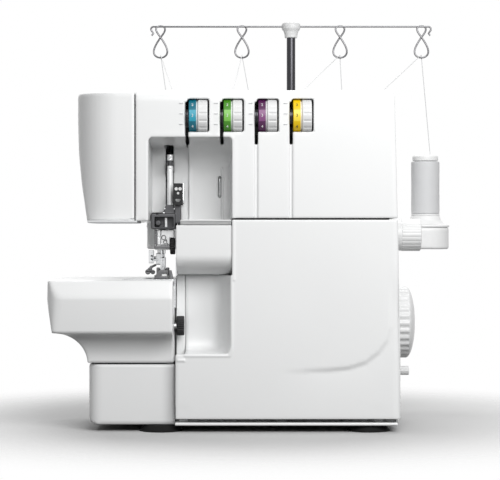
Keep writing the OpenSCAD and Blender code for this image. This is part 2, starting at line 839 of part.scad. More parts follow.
module handwheel() {
    color([0.94, 0.94, 0.94])
    difference() {
        translate([wheel_x, shaft_y, shaft_z]) rotate([90, 0, 90]) rotate_extrude()
            polygon(concat([[0, 0], [wheel_d / 2 - 3, 0]],
                arc(wheel_d / 2 - 3, 3, 3, -90, 0, 4),
                [[wheel_d / 2, wheel_w - 9]],
                oval_arc(0, wheel_w - 9, wheel_d / 2, 9, 0, 90, 8)));
        rod_x(wheel_x - 1, wheel_x + wheel_w - 6, shaft_y, shaft_z, shaft_d);
    }
}

module main_shaft() {
    color([0.78, 0.78, 0.8])
    rod_x(wall_mid[0] - 12, wheel_x + wheel_w - 6.2, shaft_y, shaft_z, shaft_d);
}

pulley_x = [-14, -4];
motor_y = 4;
motor_z = frame_z + frame_t + 3 + motor_d / 2;
motor_x = 6;
motor_shaft_d = 6;
pulley_drop = [motor_y - shaft_y, motor_z - shaft_z];
pulley_span = norm(pulley_drop);

module shaft_pulley() {
    color([0.3, 0.3, 0.32])
    difference() {
        rod_x(pulley_x[0], pulley_x[1], shaft_y, shaft_z, big_pulley_d);
        rod_x(pulley_x[0] - 1, pulley_x[1] + 1, shaft_y, shaft_z, shaft_d);
    }
}

module motor_pulley() {
    color([0.7, 0.7, 0.72])
    union() {
        rod_x(pulley_x[0], pulley_x[1], motor_y, motor_z, small_pulley_d);
        rod_x(pulley_x[0] - 2, motor_x + 12, motor_y, motor_z, motor_shaft_d);
    }
}

// Outline of the belt round both pulleys at distance d from them, in the plane of the pulleys
function belt_outline(d) =
    let (a = atan2(pulley_drop[1], pulley_drop[0]),
         b = acos((big_pulley_d - small_pulley_d) / 2 / pulley_span))
    concat(arc(shaft_y, shaft_z, big_pulley_d / 2 + d, a + b, a + 360 - b, 24),
           arc(motor_y, motor_z, small_pulley_d / 2 + d, a - b, a + b, 12));

module timing_belt() {
    color([0.12, 0.12, 0.12])
    difference() {
        along_x(pulley_x[0] + 0.5, pulley_x[1] - 0.5) polygon(belt_outline(belt_t + 0.4));
        along_x(pulley_x[0], pulley_x[1]) polygon(belt_outline(0.4));
    }
}

module motor() {
    color([0.4, 0.41, 0.43])
    difference() {
        union() {
            rod_x(motor_x, motor_x + motor_l, motor_y, motor_z, motor_d);
            block([motor_x + 8, motor_y - 20, frame_z + frame_t],
                  [motor_x + motor_l - 8, motor_y + 20, motor_z - 10]);
        }
        rod_x(motor_x - 1, motor_x + 14, motor_y, motor_z, motor_shaft_d + 2 * run_fit);
    }
}

// ---- needle drive ----

arm_tip = rock_y - needle_y;
arm_tilt = asin((needle_stroke / 2) / arm_tip);
neck_z = [needle_bar_top - 12.5, needle_bar_top - 5.5];
neck_d = 3.4;
screw_z = clamp_bottom + 3.6;
screw_knob_d = 15.4;
screw_shank_d = 3;
bar_foot = screw_z + screw_knob_d / 2 + 0.5;

// Arm that drives the needle bar, with its rocking shaft
module needle_arm() {
    color([0.2, 0.2, 0.21])
    translate([needle_bar_x, rock_y, rock_z]) rotate([-arm_tilt, 0, 0])
    difference() {
        union() {
            translate([-8, 0, 0]) rotate([0, 90, 0])
                cylinder(h = wall_right[1] + 14 - needle_bar_x, d = rock_d);
            translate([-4, 0, 0]) rotate([0, 90, 0]) cylinder(h = 8, d = rock_d + 8);
            translate([-3, -arm_tip + 6, -4]) cube([6, arm_tip - 10, 8]);
            translate([-3.2, -arm_tip - 3.5, -1.1]) cube([6.4, 12, 2.2]);
        }
        translate([-neck_d / 2 - 0.5, -arm_tip - 5, -3]) cube([neck_d + 1, 8.5, 6]);
    }
}

module needle_bar() {
    color([0.85, 0.85, 0.87])
    difference() {
        rod_z(bar_foot, needle_bar_top, needle_bar_x, needle_y, needle_bar_d);
        difference() {
            rod_z(neck_z[0], neck_z[1], needle_bar_x, needle_y, needle_bar_d + 1);
            rod_z(neck_z[0] - 1, neck_z[1] + 1, needle_bar_x, needle_y, neck_d);
        }
        rod_y(needle_y - 6, needle_y - 1, needle_bar_x, neck_z[1] + 2.6, 1.4);
        rod_y(needle_y - 6, needle_y - 1, needle_bar_x, neck_z[0] - 3.6, 1.4);
    }
}

module needle_clamp() {
    color([0.85, 0.85, 0.85])
    difference() {
        union() {
            block([needle_bar_x - 11.4, needle_y - 6, clamp_bottom + 4.5],
                  [needle_bar_x + 4, needle_y + 6, clamp_bottom + 4.5 + clamp_h]);
            block([needle_bar_x - 13.8, needle_y - 4, clamp_bottom],
                  [needle_bar_x - 0.2, needle_y + 4, clamp_bottom + 4.6]);
            block([needle_bar_x - 14.4, needle_y - 5, clamp_bottom + 1],
                  [needle_bar_x - 11.3, needle_y - 3.4, clamp_bottom + 18.6]);
        }
        rod_z(bar_foot, clamp_bottom + 30, needle_bar_x, needle_y, needle_bar_d);
        for (x = needle_xs)
            rod_z(clamp_bottom - 1, clamp_bottom + 10, x, needle_y, needle_d * 1.7);
        // room for the screw's knob, and its thread
        block([needle_bar_x - 0.1, needle_y - 7, clamp_bottom - 1],
              [needle_bar_x + 5, needle_y + 7, bar_foot - 0.3]);
        rod_x(needle_bar_x - 3.6, needle_bar_x + 5, needle_y, screw_z, screw_shank_d);
    }
}

module needle_screw() {
    color([0.1, 0.1, 0.1])
    union() {
        rod_x(needle_bar_x + 0.1, needle_bar_x + 5.3, needle_y, screw_z, screw_knob_d);
        rod_x(needle_bar_x - 3.5, needle_bar_x + 0.2, needle_y, screw_z, screw_shank_d);
    }
}

module needles() {
    color([0.8, 0.8, 0.82])
    for (x = needle_xs) {
        rod_z(clamp_bottom - 3, clamp_bottom + 9.8, x, needle_y, needle_d * 1.7);
        rod_z(clamp_bottom - needle_l + 5, clamp_bottom - 2.9, x, needle_y, needle_d);
        translate([x, needle_y, clamp_bottom - needle_l])
            cylinder(h = 5.1, d1 = 0.2, d2 = needle_d);
    }
}

guide_plate_z = shelf_z + 18.5;
guide_plate_h = 20;

module thread_guide_plate() {
    color([0.1, 0.1, 0.1])
    difference() {
        union() {
            block([column_left - 2.2, front_y + 26, guide_plate_z],
                  [column_left + 6.6, front_y + 28, guide_plate_z + guide_plate_h]);
            block([column_left + 4.6, front_y + 27, guide_plate_z + 2],
                  [column_left + 6.6, pocket_back, guide_plate_z + guide_plate_h - 2]);
        }
        for (p = [[0.5, guide_plate_h - 5], [4, guide_plate_h - 5], [2.2, 5.5]])
            rod_y(front_y + 20, front_y + 30, column_left + p[0], guide_plate_z + p[1], 2);
    }
}

// ---- presser ----

foot_top = 146.2;
sole_z = cloth_top + 0.3;
foot_pivot = [front_y + 57, cloth_top + 7.4];
pivot_d = 2.4;
foot_x = [-98, -86.2];
collar_z = [lifter_z + 5.5, lifter_z + 9];

module presser_bar() {
    color([0.8, 0.8, 0.83])
    union() {
        rod_z(foot_pivot[1] + 6, arm_z[1] + 22, presser_x, presser_y, presser_bar_d);
        rod_z(collar_z[0], collar_z[1], presser_x, presser_y, presser_bar_d + 5);
    }
}

module presser_spring() {
    color([0.6, 0.6, 0.62])
    difference() {
        rod_z(collar_z[1] + 0.1, arm_z[1] + 3.9, presser_x, presser_y, presser_bar_d + 5);
        rod_z(collar_z[1], arm_z[1] + 5, presser_x, presser_y, presser_bar_d + 1.2);
    }
}

module presser_foot_holder() {
    color([0.55, 0.55, 0.57])
    difference() {
        union() {
            block([presser_x - 4, presser_y - 6, foot_pivot[1] + 5],
                  [presser_x + 4, presser_y + 5, foot_pivot[1] + 16]);
            block([foot_x[0] + 3.6, foot_pivot[0] - 4, foot_pivot[1] - 3],
                  [foot_x[1] - 3.6, presser_y, foot_pivot[1] + 12]);
        }
        rod_z(foot_pivot[1] + 6, foot_pivot[1] + 40, presser_x, presser_y, presser_bar_d);
        rod_x(foot_x[0], foot_x[1], foot_pivot[0], foot_pivot[1], pivot_d + 2 * run_fit);
    }
}

module presser_foot() {
    toe_y = foot_pivot[0] + 3 - sole_l;
    color([0.5, 0.5, 0.52])
    difference() {
        union() {
            // sole with its turned-up rear end
            along_x(foot_x[0], foot_x[1])
                polygon([[toe_y + 2, sole_z], [foot_pivot[0], sole_z],
                         [foot_pivot[0] + 6, sole_z + 1.6],
                         [foot_pivot[0] + 6, sole_z + 2.8], [foot_pivot[0] - 6, sole_z + 2.2],
                         [toe_y + 2, sole_z + 3.4]]);
            // toe
            along_y(toe_y, toe_y + 9)
                polygon([[foot_x[0] + toe_w, sole_z], [foot_x[0] + toe_w - 1.6, foot_top],
                         [foot_x[0] + 3.2, foot_top], [foot_x[0], sole_z]]);
            // ears at the pivot and the pin
            for (x = [foot_x[0], foot_x[1] - 3])
                block([x, foot_pivot[0] - 4, sole_z + 1],
                      [x + 3, foot_pivot[0] + 4, foot_pivot[1] + 2.6]);
            rod_x(foot_x[0], foot_x[1], foot_pivot[0], foot_pivot[1], pivot_d);
        }
        block([needle_xs[0] - 2, needle_y - 6, sole_z - 1],
              [needle_xs[1] + 2, needle_y + 5, foot_top + 4]);
        block([foot_x[0] + 6, toe_y - 1, sole_z + 2.2], [foot_x[0] + 12, toe_y + 10, sole_z + 5]);
    }
}

module presser_lifter() {
    color([0.9, 0.9, 0.9])
    union() {
        rod_y(front_y + 58 + shell + 0.6, body_rear + 6, lifter_x, lifter_z, lifter_d);
        // cam under the presser bar's collar
        block([lifter_x, presser_y - 2, lifter_z - 2.4], [lifter_x + 7, presser_y + 3, lifter_z + 2.4]);
        // handle behind the rear cover
        along_y(body_rear + 2.4, body_rear + 8)
            polygon(concat(arc(lifter_x, lifter_z, 8, 0, 180, 10),
                           arc(lifter_x, lifter_z - 34, 6, 180, 360, 10)));
    }
}

// ---- loopers, feed and knives ----

module lower_looper() {
    color([0.8, 0.8, 0.82])
    difference() {
        union() {
            rod_y(front_y + 43.4, front_y + 84, looper_pivot[0], looper_pivot[1], looper_shaft_d);
            along_y(front_y + 43.4, front_y + 46)
                polygon([[looper_pivot[0] - 5, looper_pivot[1] - 5],
                         [looper_pivot[0] + 5, looper_pivot[1] - 5],
                         [looper_pivot[0] + 3, looper_pivot[1] + 30],
                                 [looper_pivot[0] + 15, looper_pivot[1] + 35],
                         [looper_pivot[0] + 15, looper_pivot[1] + 36.4],
                                 [looper_pivot[0] - 3, looper_pivot[1] + 36]]);
        }
        rod_y(front_y + 40, front_y + 50, looper_pivot[0] + 12, looper_pivot[1] + 35.2, 0.8);
    }
}

module upper_looper() {
    color([0.8, 0.8, 0.82])
    difference() {
        union() {
            rod_y(front_y + 47, front_y + 84, upper_pivot[0], upper_pivot[1], looper_shaft_d);
            along_y(front_y + 47, front_y + 49.6)
                polygon([[upper_pivot[0] - 5, upper_pivot[1] - 5],
                         [upper_pivot[0] + 5, upper_pivot[1] - 5],
                         [upper_pivot[0] + 10, upper_pivot[1] + 40],
                                 [upper_pivot[0] + 3, upper_pivot[1] + 56],
                         [upper_pivot[0] + 1.6, upper_pivot[1] + 55.4],
                                 [upper_pivot[0] + 4, upper_pivot[1] + 40],
                         [upper_pivot[0] - 3, upper_pivot[1] + 8]]);
        }
        rod_y(front_y + 44, front_y + 52, upper_pivot[0] + 4, upper_pivot[1] + 51, 0.8);
    }
}

tooth_pitch = 1.5;

module feed_dog() {
    color([0.7, 0.7, 0.72])
    union() {
        for (x = feed_bars)
            along_x(x, x + feed_w)
                polygon(concat([[feed_y[1], plate_z - 2.4], [feed_y[0], plate_z - 2.4]],
                    [for (i = [0:floor((feed_y[1] - feed_y[0]) / tooth_pitch) - 1])
                        each [[feed_y[0] + i * tooth_pitch, cloth_top - 1],
                              [feed_y[0] + (i + 0.7) * tooth_pitch, cloth_top - 0.2]]],
                    [[feed_y[1], cloth_top - 1]]));
        block([feed_bars[0], feed_y[1] - 10, plate_z - 5],
              [feed_bars[1] + feed_w, feed_y[1], plate_z - 2.3]);
        // carrier that slides over the frame's bearing wall
        block([feed_bars[0] + 2, feed_y[1] - 6, plate_z - 5],
              [feed_bars[0] + 8, front_y + 82, plate_z - 2.4]);
        block([feed_bars[0] + 2, front_y + 70, plate_z - 9.7],
              [feed_bars[0] + 8, front_y + 82, plate_z - 4]);
    }
}

knife_gap = 0.08;
knife_face = plate_right + 0.9;

module lower_knife() {
    color([0.6, 0.6, 0.63])
    union() {
        block([knife_face - 1.6, needle_y - 13, plate_z - 24], [knife_face, needle_y - 4, cloth_top]);
        block([wall_inner[1], needle_y - 11, plate_z - 24],
              [knife_face - 0.5, needle_y - 5, plate_z - 12]);
    }
}

module upper_knife() {
    color([0.65, 0.65, 0.68])
    union() {
        along_x(knife_face + knife_gap, knife_face + knife_gap + 1.2)
            polygon([[needle_y - 13, cloth_top + 2.6], [needle_y - 4, cloth_top + 1.4],
                     [needle_y - 4, cloth_top + 12],
                     [knife_rod[1] + 3, cloth_top + 12], [knife_rod[1] + 3, cloth_top + 20],
                     [needle_y - 13, cloth_top + 20]]);
        block([knife_face + knife_gap + 0.2, knife_rod[1] - 3, cloth_top + 12],
              [knife_rod[0] + 3, knife_rod[1] + 3, cloth_top + 20]);
        rod_z(cloth_top - 20, cloth_top + 48, knife_rod[0], knife_rod[1], knife_rod_d);
    }
}

// ---- tension ----

dial_y = front_y - dial_proud + dial_r;
dial_gap = 0.5;
tension_d = 5;

module tension_dial(i, tint) {
    x = slot_x(i) + slot_w + dial_gap;
    color(tint)
    difference() {
        rod_x(x, x + dial_w, dial_y, dial_z, dial_r * 2);
        rod_x(x - 1, x + dial_w + 1, dial_y, dial_z, tension_d + 2 * run_fit);
        for (k = [0:19])
            translate([x + 8, dial_y, dial_z]) rotate([k * 18, 0, 0])
                translate([0, dial_r - 0.8, -0.7]) cube([dial_w, 2, 1.4]);
    }
}

module tension_dial_1() { tension_dial(0, [0.1, 0.6, 0.65]); }
module tension_dial_2() { tension_dial(1, [0.4, 0.7, 0.2]); }
module tension_dial_3() { tension_dial(2, [0.4, 0.15, 0.45]); }
module tension_dial_4() { tension_dial(3, [0.95, 0.8, 0.1]); }

bracket_t = 1.6;
bracket_y = dial_y + dial_r + 2;

module tension_discs() {
    color([0.8, 0.8, 0.82])
    for (i = [0:3]) for (x = [slot_x(i) + 0.3, slot_x(i) + slot_w - 1.1])
        difference() {
            rod_x(x, x + 0.8, dial_y, dial_z, 20);
            rod_x(x - 1, x + 2, dial_y, dial_z, tension_d);
        }
}

// Bracket of the tension discs, its shaft pressed in
module tension_bracket() {
    color([0.6, 0.6, 0.62]) {
        rod_x(slot_x(0) - 3.4, slot_x(3) + window_w + 4, dial_y, dial_z, tension_d);
        block([slot_x(0) - 3.4, bracket_y, dial_z - 16],
              [slot_x(3) + window_w + 4, bracket_y + bracket_t, dial_z + 16]);
        for (i = [0:3])
            block([slot_x(i) - 2.6, dial_y - 5, dial_z - 5],
                  [slot_x(i) - 2.6 + bracket_t, bracket_y + 0.5, dial_z + 5]);
        block([slot_x(3) + window_w, dial_y - 5, dial_z - 5],
              [slot_x(3) + window_w + bracket_t, bracket_y + 0.5, dial_z + 5]);
        // struts back to the upper arm
        for (x = [-30, 30]) {
            block([x, bracket_y, dial_z - 10], [x + 8, front_y + 118, dial_z - 10 + bracket_t * 2]);
            block([x, front_y + 112, arm_z[1]], [x + 8, front_y + 118, dial_z - 9]);
        }
    }
}

// ---- controls ----

module side_knob(z, d, reach, shaft_dia, clear) {
    x = right_face(z) + clear;
    union() {
        difference() {
            rod_x(x, x + reach, stitch_y, z, d);
            for (k = [0:11])
                translate([x + reach * 0.45, stitch_y, z]) rotate([k * 30, 0, 0])
                    translate([0, d / 2 - d * 0.03, -d * 0.03]) cube([reach, d * 0.08, d * 0.06]);
        }
        rod_x(wall_right[0] - 4, x + 1, stitch_y, z, shaft_dia);
    }
}

module stitch_dial() {
    color([0.92, 0.92, 0.92]) side_knob(stitch_z, stitch_d, stitch_w, 5, 1);
}

module feed_knob() {
    color([0.92, 0.92, 0.92]) side_knob(feed_knob_z, feed_knob_d, 14, 4, 1);
}

module width_knob() {
    color([0.12, 0.12, 0.12])
    union() {
        rod_x(column_left + 1, column_left + 8, width_knob_y, width_knob_z, width_knob_d);
        rod_x(wall_inner[0] - 3, column_left + 2, width_knob_y, width_knob_z, 5);
    }
}

module power_switch() {
    x = right_face(switch_z);
    color([0.15, 0.15, 0.15])
    difference() {
        along_y(switch_y - 7, switch_y + 7)
            polygon([[x + 1.6, switch_z + 5.2], [x + 0.4, switch_z], [x + 0.2, switch_z - 5.2],
                     [x - 5, switch_z - 4], [x - 5, switch_z + 4]]);
        rod_y(switch_y - 8, switch_y + 8, x - 3, switch_z, 2.4);
    }
}

module power_inlet() {
    x = right_face(inlet_z);
    color([0.1, 0.1, 0.1])
    union() {
        difference() {
            block([x - 16, inlet_y - 11.7, inlet_z - 8.7], [x, inlet_y + 11.7, inlet_z + 8.7]);
            block([x - 13, inlet_y - 9.5, inlet_z - 6.5], [x + 1, inlet_y + 9.5, inlet_z + 6.5]);
        }
        difference() {
            block([x, inlet_y - 14, inlet_z - 11], [x + 1.4, inlet_y + 14, inlet_z + 11]);
            block([x - 1, inlet_y - 9.5, inlet_z - 6.5], [x + 3, inlet_y + 9.5, inlet_z + 6.5]);
        }
        // switch frame with the rocker's pin
        block([x - 7, switch_y - 7.8, inlet_z + 8.5], [x - 5.8, switch_y + 7.8, switch_z + 5.8]);
        rod_y(switch_y - 7.8, switch_y + 7.8, right_face(switch_z) - 3, switch_z, 2.3);
        for (y = [switch_y - 7.8, switch_y + 7.2])
            block([x - 7, y, switch_z - 2], [x - 1, y + 0.6, switch_z + 2]);
    }
}

module lamp() {
    color([0.9, 0.92, 0.85])
    union() {
        block([lamp_x - lamp_w / 2 + 0.3, lamp_y - lamp_l / 2 + 0.3, head_bottom + 0.4],
              [lamp_x + lamp_w / 2 - 0.3, lamp_y + lamp_l / 2 - 0.3, head_bottom + 4]);
        block([lamp_x - lamp_w / 2 - 3, lamp_y - lamp_l / 2 - 3, head_bottom + shell + 0.1],
              [lamp_x + lamp_w / 2 + 3, lamp_y + lamp_l / 2 + 3, head_bottom + shell + 4]);
    }
}

// ---- thread stand ----

bracket_half = 30;
stand_left = pin_right - 3 * pin_pitch - stand_r;
stand_right = pin_right + stand_r;
stand_top = stand_z + stand_t;
pin_d = 5;
tube_d = 12;
tube_top = 300;
pole_bottom = tube_top - 30 - pole_travel;
cap_z = cap_top - 15.4;
cap_seat = 0.4;
bar_z = cap_top - 3.7;
loop_z = cap_top - 35.9;
loop_r = 7.6;
eye_r = 4.9;

function pin_x(i) = pin_right - 3 * pin_pitch + pin_pitch * i;
function guide_x(i) = pole_x + [-guide_outer, -guide_inner, guide_inner, guide_outer][i];

module spool_stand() {
    color([0.94, 0.94, 0.94])
    difference() {
        union() {
            along_z(stand_z, stand_top)
                polygon(concat(arc(stand_right - stand_r, stand_y, stand_r, -90, 90, 12),
                               arc(stand_left + stand_r, stand_y, stand_r, 90, 270, 12)));
            block([pole_x - bracket_half, body_rear, stand_z],
                  [pole_x + bracket_half, stand_y - 1, stand_top]);
        }
        for (i = [0:3])
            rod_z(stand_z + 4, stand_top + 1, pin_x(i), stand_y, pin_d);
        rod_z(stand_z + 4, stand_top + 1, pole_x, stand_y, tube_d);
    }
}

module spool_pins() {
    color([0.85, 0.85, 0.87])
    for (i = [0:3])
        rod_z(stand_z + 4.1, stand_top + winding_h + 12, pin_x(i), stand_y, pin_d);
}

seat_h = 12;

// Cone and disc that a spool stands on
module spool_seats() {
    color([0.93, 0.93, 0.93])
    for (i = [0:3])
        translate([pin_x(i), stand_y, stand_top]) difference() {
            rotate_extrude()
                polygon([[0, 0], [seat_r - 1, 0], [seat_r, 1], [seat_r, 2], [seat_r - 1, 2.6],
                         [winding_r + 5.4, 3.6], [winding_r + 1.8, seat_h * 0.6],
                         [winding_r, seat_h], [0, seat_h]]);
            translate([0, 0, -1]) cylinder(h = seat_h + 2, d = pin_d);
        }
}

core_z = stand_top + seat_h;

// Reel with two flanges
module spool_cores() {
    color([0.9, 0.9, 0.9])
    for (i = [0:3])
        translate([pin_x(i), stand_y, core_z]) rotate_extrude()
            polygon([[pin_d / 2 + 0.4, 0], [winding_r, 0], [winding_r, 1.6], [winding_r * 0.55, 2.4],
                     [winding_r * 0.55, winding_h + 1.6], [winding_r - 1.4, winding_h + 2.4],
                     [winding_r - 1.4, winding_h + 6.6], [winding_r - 2.6, winding_h + 8],
                     [pin_d / 2 + 0.4, winding_h + 8]]);
}

module thread_windings() {
    color([0.85, 0.86, 0.88])
    for (i = [0:3])
        translate([pin_x(i), stand_y, core_z]) rotate_extrude()
            polygon([[winding_r * 0.55, 2.6], [winding_r, 1.9], [winding_r, winding_h + 1.2],
                     [winding_r - 1, winding_h + 1.6], [winding_r * 0.55, winding_h + 1.5]]);
}

module antenna_lower_tube() {
    color([0.75, 0.75, 0.78])
    difference() {
        rod_z(stand_z + 4.1, tube_top, pole_x, stand_y, tube_d);
        rod_z(stand_z + 8, tube_top + 1, pole_x, stand_y, pole_d + 2 * run_fit);
    }
}

module antenna_upper_tube() {
    color([0.8, 0.8, 0.83])
    rod_z(pole_bottom, cap_z + cap_seat, pole_x, stand_y, pole_d);
}

// Figure-of-eight thread guide that hangs on the bar, as an X-Z outline
module guide_outline(x) {
    eye_z = bar_z - eye_r - 0.2;
    ring_z = loop_z + loop_r + wire_d / 2;
    difference() {
        union() {
            translate([x, eye_z]) circle(r = eye_r + wire_d / 2);
            translate([x, ring_z]) circle(r = loop_r + wire_d / 2);
            for (s = [-1, 1])
                translate([x, (eye_z + ring_z) / 2]) rotate(s * 32)
                    square([wire_d, eye_z - ring_z - 4], center = true);
        }
        translate([x, eye_z]) circle(r = eye_r - wire_d / 2);
        translate([x, ring_z]) circle(r = loop_r - wire_d / 2);
    }
}

module antenna_head() {
    color([0.78, 0.78, 0.8])
    union() {
        difference() {
            union() {
                rod_z(cap_z, cap_z + 4, pole_x, stand_y, pole_d + 10);
                rod_z(cap_z + 3.9, cap_top, pole_x, stand_y, pole_d + 3.8);
            }
            rod_z(cap_z - 1, cap_z + cap_seat, pole_x, stand_y, pole_d);
        }
        rod_x(guide_x(0) - 10, guide_x(3) + 10, stand_y, bar_z, wire_d);
        for (x = [guide_x(0) - 10, guide_x(3) + 10])
            rod_z(bar_z - 10, bar_z + 0.2, x, stand_y, wire_d - 0.2);
        for (i = [0:3])
            along_y(stand_y - wire_d * 0.4, stand_y + wire_d * 0.4) guide_outline(guide_x(i));
    }
}

rail_y = front_y + 60;
rail_eyes = [-83, -27, 37, 112];
rail_h = 1.6;

module thread_rail() {
    color([0.7, 0.7, 0.72])
    difference() {
        block([rail_eyes[0] - 6, rail_y - 5, body_top],
              [right_face(body_top) - 7, rail_y + 5, body_top + rail_h]);
        for (x = rail_eyes)
            rod_z(body_top - 1, body_top + 5, x, rail_y, 2.4);
    }
}

// Threads from each spool up to its guide and down to the rail
module threads() {
    color([0.9, 0.9, 0.92])
    for (i = [0:3]) {
        // it bends behind the guide's wire, and the fall to the rail takes it over that wire
        bend = [guide_x(i), stand_y + 2.2, loop_z + wire_d + 1.5];
        wire([pin_x(i) + 5, stand_y, core_z + winding_h + 8.3], bend, thread_d);
        translate(bend) sphere(d = thread_d * 1.6, $fn = 24);
        wire(bend, [rail_eyes[i], rail_y, body_top + rail_h + thread_d], thread_d);
    }
}

base_pan();
base_box();
hinge_brackets();
rubber_feet();
front_cover();
rear_cover();
face_cover();
looper_cover();
door_bay();
hinge_rod();
cloth_plate_cover();
knife_guard();
cover_screws();
machine_frame();
needle_bar_guide();
needle_plate();
main_shaft();
handwheel();
shaft_pulley();
timing_belt();
motor();
motor_pulley();
needle_arm();
needle_bar();
needle_clamp();
needle_screw();
needles();
thread_guide_plate();
presser_bar();
presser_spring();
presser_foot_holder();
presser_foot();
presser_lifter();
upper_looper();
lower_looper();
feed_dog();
upper_knife();
lower_knife();
tension_dial_1();
tension_dial_2();
tension_dial_3();
tension_dial_4();
tension_discs();
tension_bracket();
stitch_dial();
feed_knob();
width_knob();
power_switch();
power_inlet();
lamp();
spool_stand();
spool_pins();
spool_seats();
spool_cores();
thread_windings();
antenna_lower_tube();
antenna_upper_tube();
antenna_head();
threads();
thread_rail();
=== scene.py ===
import math

import bmesh
import bpy
import numpy as np
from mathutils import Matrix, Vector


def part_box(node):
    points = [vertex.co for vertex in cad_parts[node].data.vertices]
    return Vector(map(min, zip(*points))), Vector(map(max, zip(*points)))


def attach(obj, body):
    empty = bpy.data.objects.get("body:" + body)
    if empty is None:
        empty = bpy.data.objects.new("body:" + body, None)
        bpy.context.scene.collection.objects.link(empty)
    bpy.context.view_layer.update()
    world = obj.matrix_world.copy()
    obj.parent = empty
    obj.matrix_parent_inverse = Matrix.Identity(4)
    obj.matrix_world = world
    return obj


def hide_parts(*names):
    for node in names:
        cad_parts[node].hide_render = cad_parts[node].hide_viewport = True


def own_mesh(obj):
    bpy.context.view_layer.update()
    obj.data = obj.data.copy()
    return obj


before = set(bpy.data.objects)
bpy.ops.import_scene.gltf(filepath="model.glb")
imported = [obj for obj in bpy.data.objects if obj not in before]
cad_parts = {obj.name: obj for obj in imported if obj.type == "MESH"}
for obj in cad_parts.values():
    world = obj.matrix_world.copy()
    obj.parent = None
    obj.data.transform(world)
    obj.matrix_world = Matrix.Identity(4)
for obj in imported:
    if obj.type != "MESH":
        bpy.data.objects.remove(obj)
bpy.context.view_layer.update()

import openvdb
from mathutils import Vector

# Lengths are millimetres until a mesh is made, and its points are then turned into metres.
MM = 0.001
TINY = 1e-6
# grid steps: the room left round a form, the width of its distance band, and half the reach of a slope
MARGIN, BAND, SLOPE_REACH = 2.5, 3, 0.6


def low(node):
    return Vector(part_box(node)[0]) / MM


def high(node):
    return Vector(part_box(node)[1]) / MM


def span(node):
    return low(node), high(node)


def middle(node):
    return (low(node) + high(node)) / 2


# ---- solid forms: signed distance fields that are meshed with rounded edges ----


class Form:
    """A solid as a signed distance, negative inside, worked out on open grids of X, Y and Z."""

    def __init__(self, distance):
        self.distance = distance

    def __call__(self, x, y, z):
        return self.distance(x, y, z)

    def join(self, other, r=0.0):
        return Form(lambda x, y, z: soft_min(self(x, y, z), other(x, y, z), r))

    def meet(self, other, r=0.0):
        return Form(lambda x, y, z: -soft_min(-self(x, y, z), -other(x, y, z), r))

    def cut(self, other, r=0.0):
        return Form(lambda x, y, z: -soft_min(-self(x, y, z), other(x, y, z), r))

    def grow(self, d):
        return Form(lambda x, y, z: self(x, y, z) - d)

    def shell(self, t):
        return Form(lambda x, y, z: np.maximum(self(x, y, z), -self(x, y, z) - t))


def soft_min(a, b, r):
    if r <= 0:
        return np.minimum(a, b)
    h = np.maximum(r - np.abs(a - b), 0) / r
    return np.minimum(a, b) - h * h * r * 0.25


def union(forms):
    forms = list(forms)
    return Form(lambda x, y, z: np.minimum.reduce(np.broadcast_arrays(*[f(x, y, z) for f in forms])))


def round_pair(a, b, r):
    """Distance to where two slabs meet, with edge radius r."""
    a, b = a + r, b + r
    outside = np.hypot(np.maximum(a, 0), np.maximum(b, 0))
    return outside + np.minimum(np.maximum(a, b), 0) - r


def slab(w, w0, w1):
    return np.abs(w - (w0 + w1) / 2) - (w1 - w0) / 2


def across(axis, x, y, z):
    """The two coordinates across an axis, and the one along it."""
    return {"x": (y, z, x), "y": (x, z, y), "z": (x, y, z)}[axis]


def box(a, b, r=0.5):
    """Box between two corners with edge radius r."""

    def distance(x, y, z):
        q = [slab(p, lo, hi) + r for p, lo, hi in zip((x, y, z), a, b)]
        outside = np.sqrt(sum(np.maximum(c, 0) ** 2 for c in q))
        return outside + np.minimum(np.maximum(np.maximum(q[0], q[1]), q[2]), 0) - r

    return Form(distance)


def polygon_distance(u, v, points):
    u, v = np.broadcast_arrays(u, v)
    best = np.full(u.shape, np.inf)
    sign = np.ones(u.shape)
    for (au, av), (bu, bv) in zip(points, points[-1:] + points[:-1]):
        eu, ev, wu, wv = bu - au, bv - av, u - au, v - av
        size = eu * eu + ev * ev
        if size < TINY ** 2:
            continue
        t = np.clip((wu * eu + wv * ev) / size, 0, 1)
        best = np.minimum(best, (wu - eu * t) ** 2 + (wv - ev * t) ** 2)
        above, below, left = v >= av, v < bv, eu * wv > ev * wu
        flip = (above & below & left) | (~above & ~below & ~left)
        sign = np.where(flip, -sign, sign)
    return sign * np.sqrt(best)


def prism(axis, points, w0, w1, r=0.5, corner=0.0):
    """An outline pushed along an axis. Its plane is (Y, Z), (X, Z) or (X, Y) for axis x, y or z."""

    def distance(x, y, z):
        u, v, w = across(axis, x, y, z)
        flat = polygon_distance(u, v, inset(points, corner) if corner else points) - corner
        return round_pair(flat, slab(w, w0, w1), r)

    return Form(distance)


def inset(points, d):
    """The outline drawn in by d, for corners that are then rounded by d."""
    p = np.array(points, float)
    area = np.sum(p[:, 0] * np.roll(p[:, 1], -1) - np.roll(p[:, 0], -1) * p[:, 1])
    turn = 1 if area > 0 else -1
    result = []
    for before, here, after in zip(np.roll(p, 1, 0), p, np.roll(p, -1, 0)):
        e0 = (here - before) / np.linalg.norm(here - before)
        e1 = (after - here) / np.linalg.norm(after - here)
        n0, n1 = turn * np.array([-e0[1], e0[0]]), turn * np.array([-e1[1], e1[0]])
        result.append(tuple(here + (n0 + n1) * d / (1 + n0 @ n1)))
    return result


def rod(axis, place, d, w0, w1, r=0.3):
    """Round rod along an axis; place is its centre in the plane across it."""

    def distance(x, y, z):
        u, v, w = across(axis, x, y, z)
        return round_pair(np.hypot(u - place[0], v - place[1]) - d / 2, slab(w, w0, w1), min(r, d / 2))

    return Form(distance)


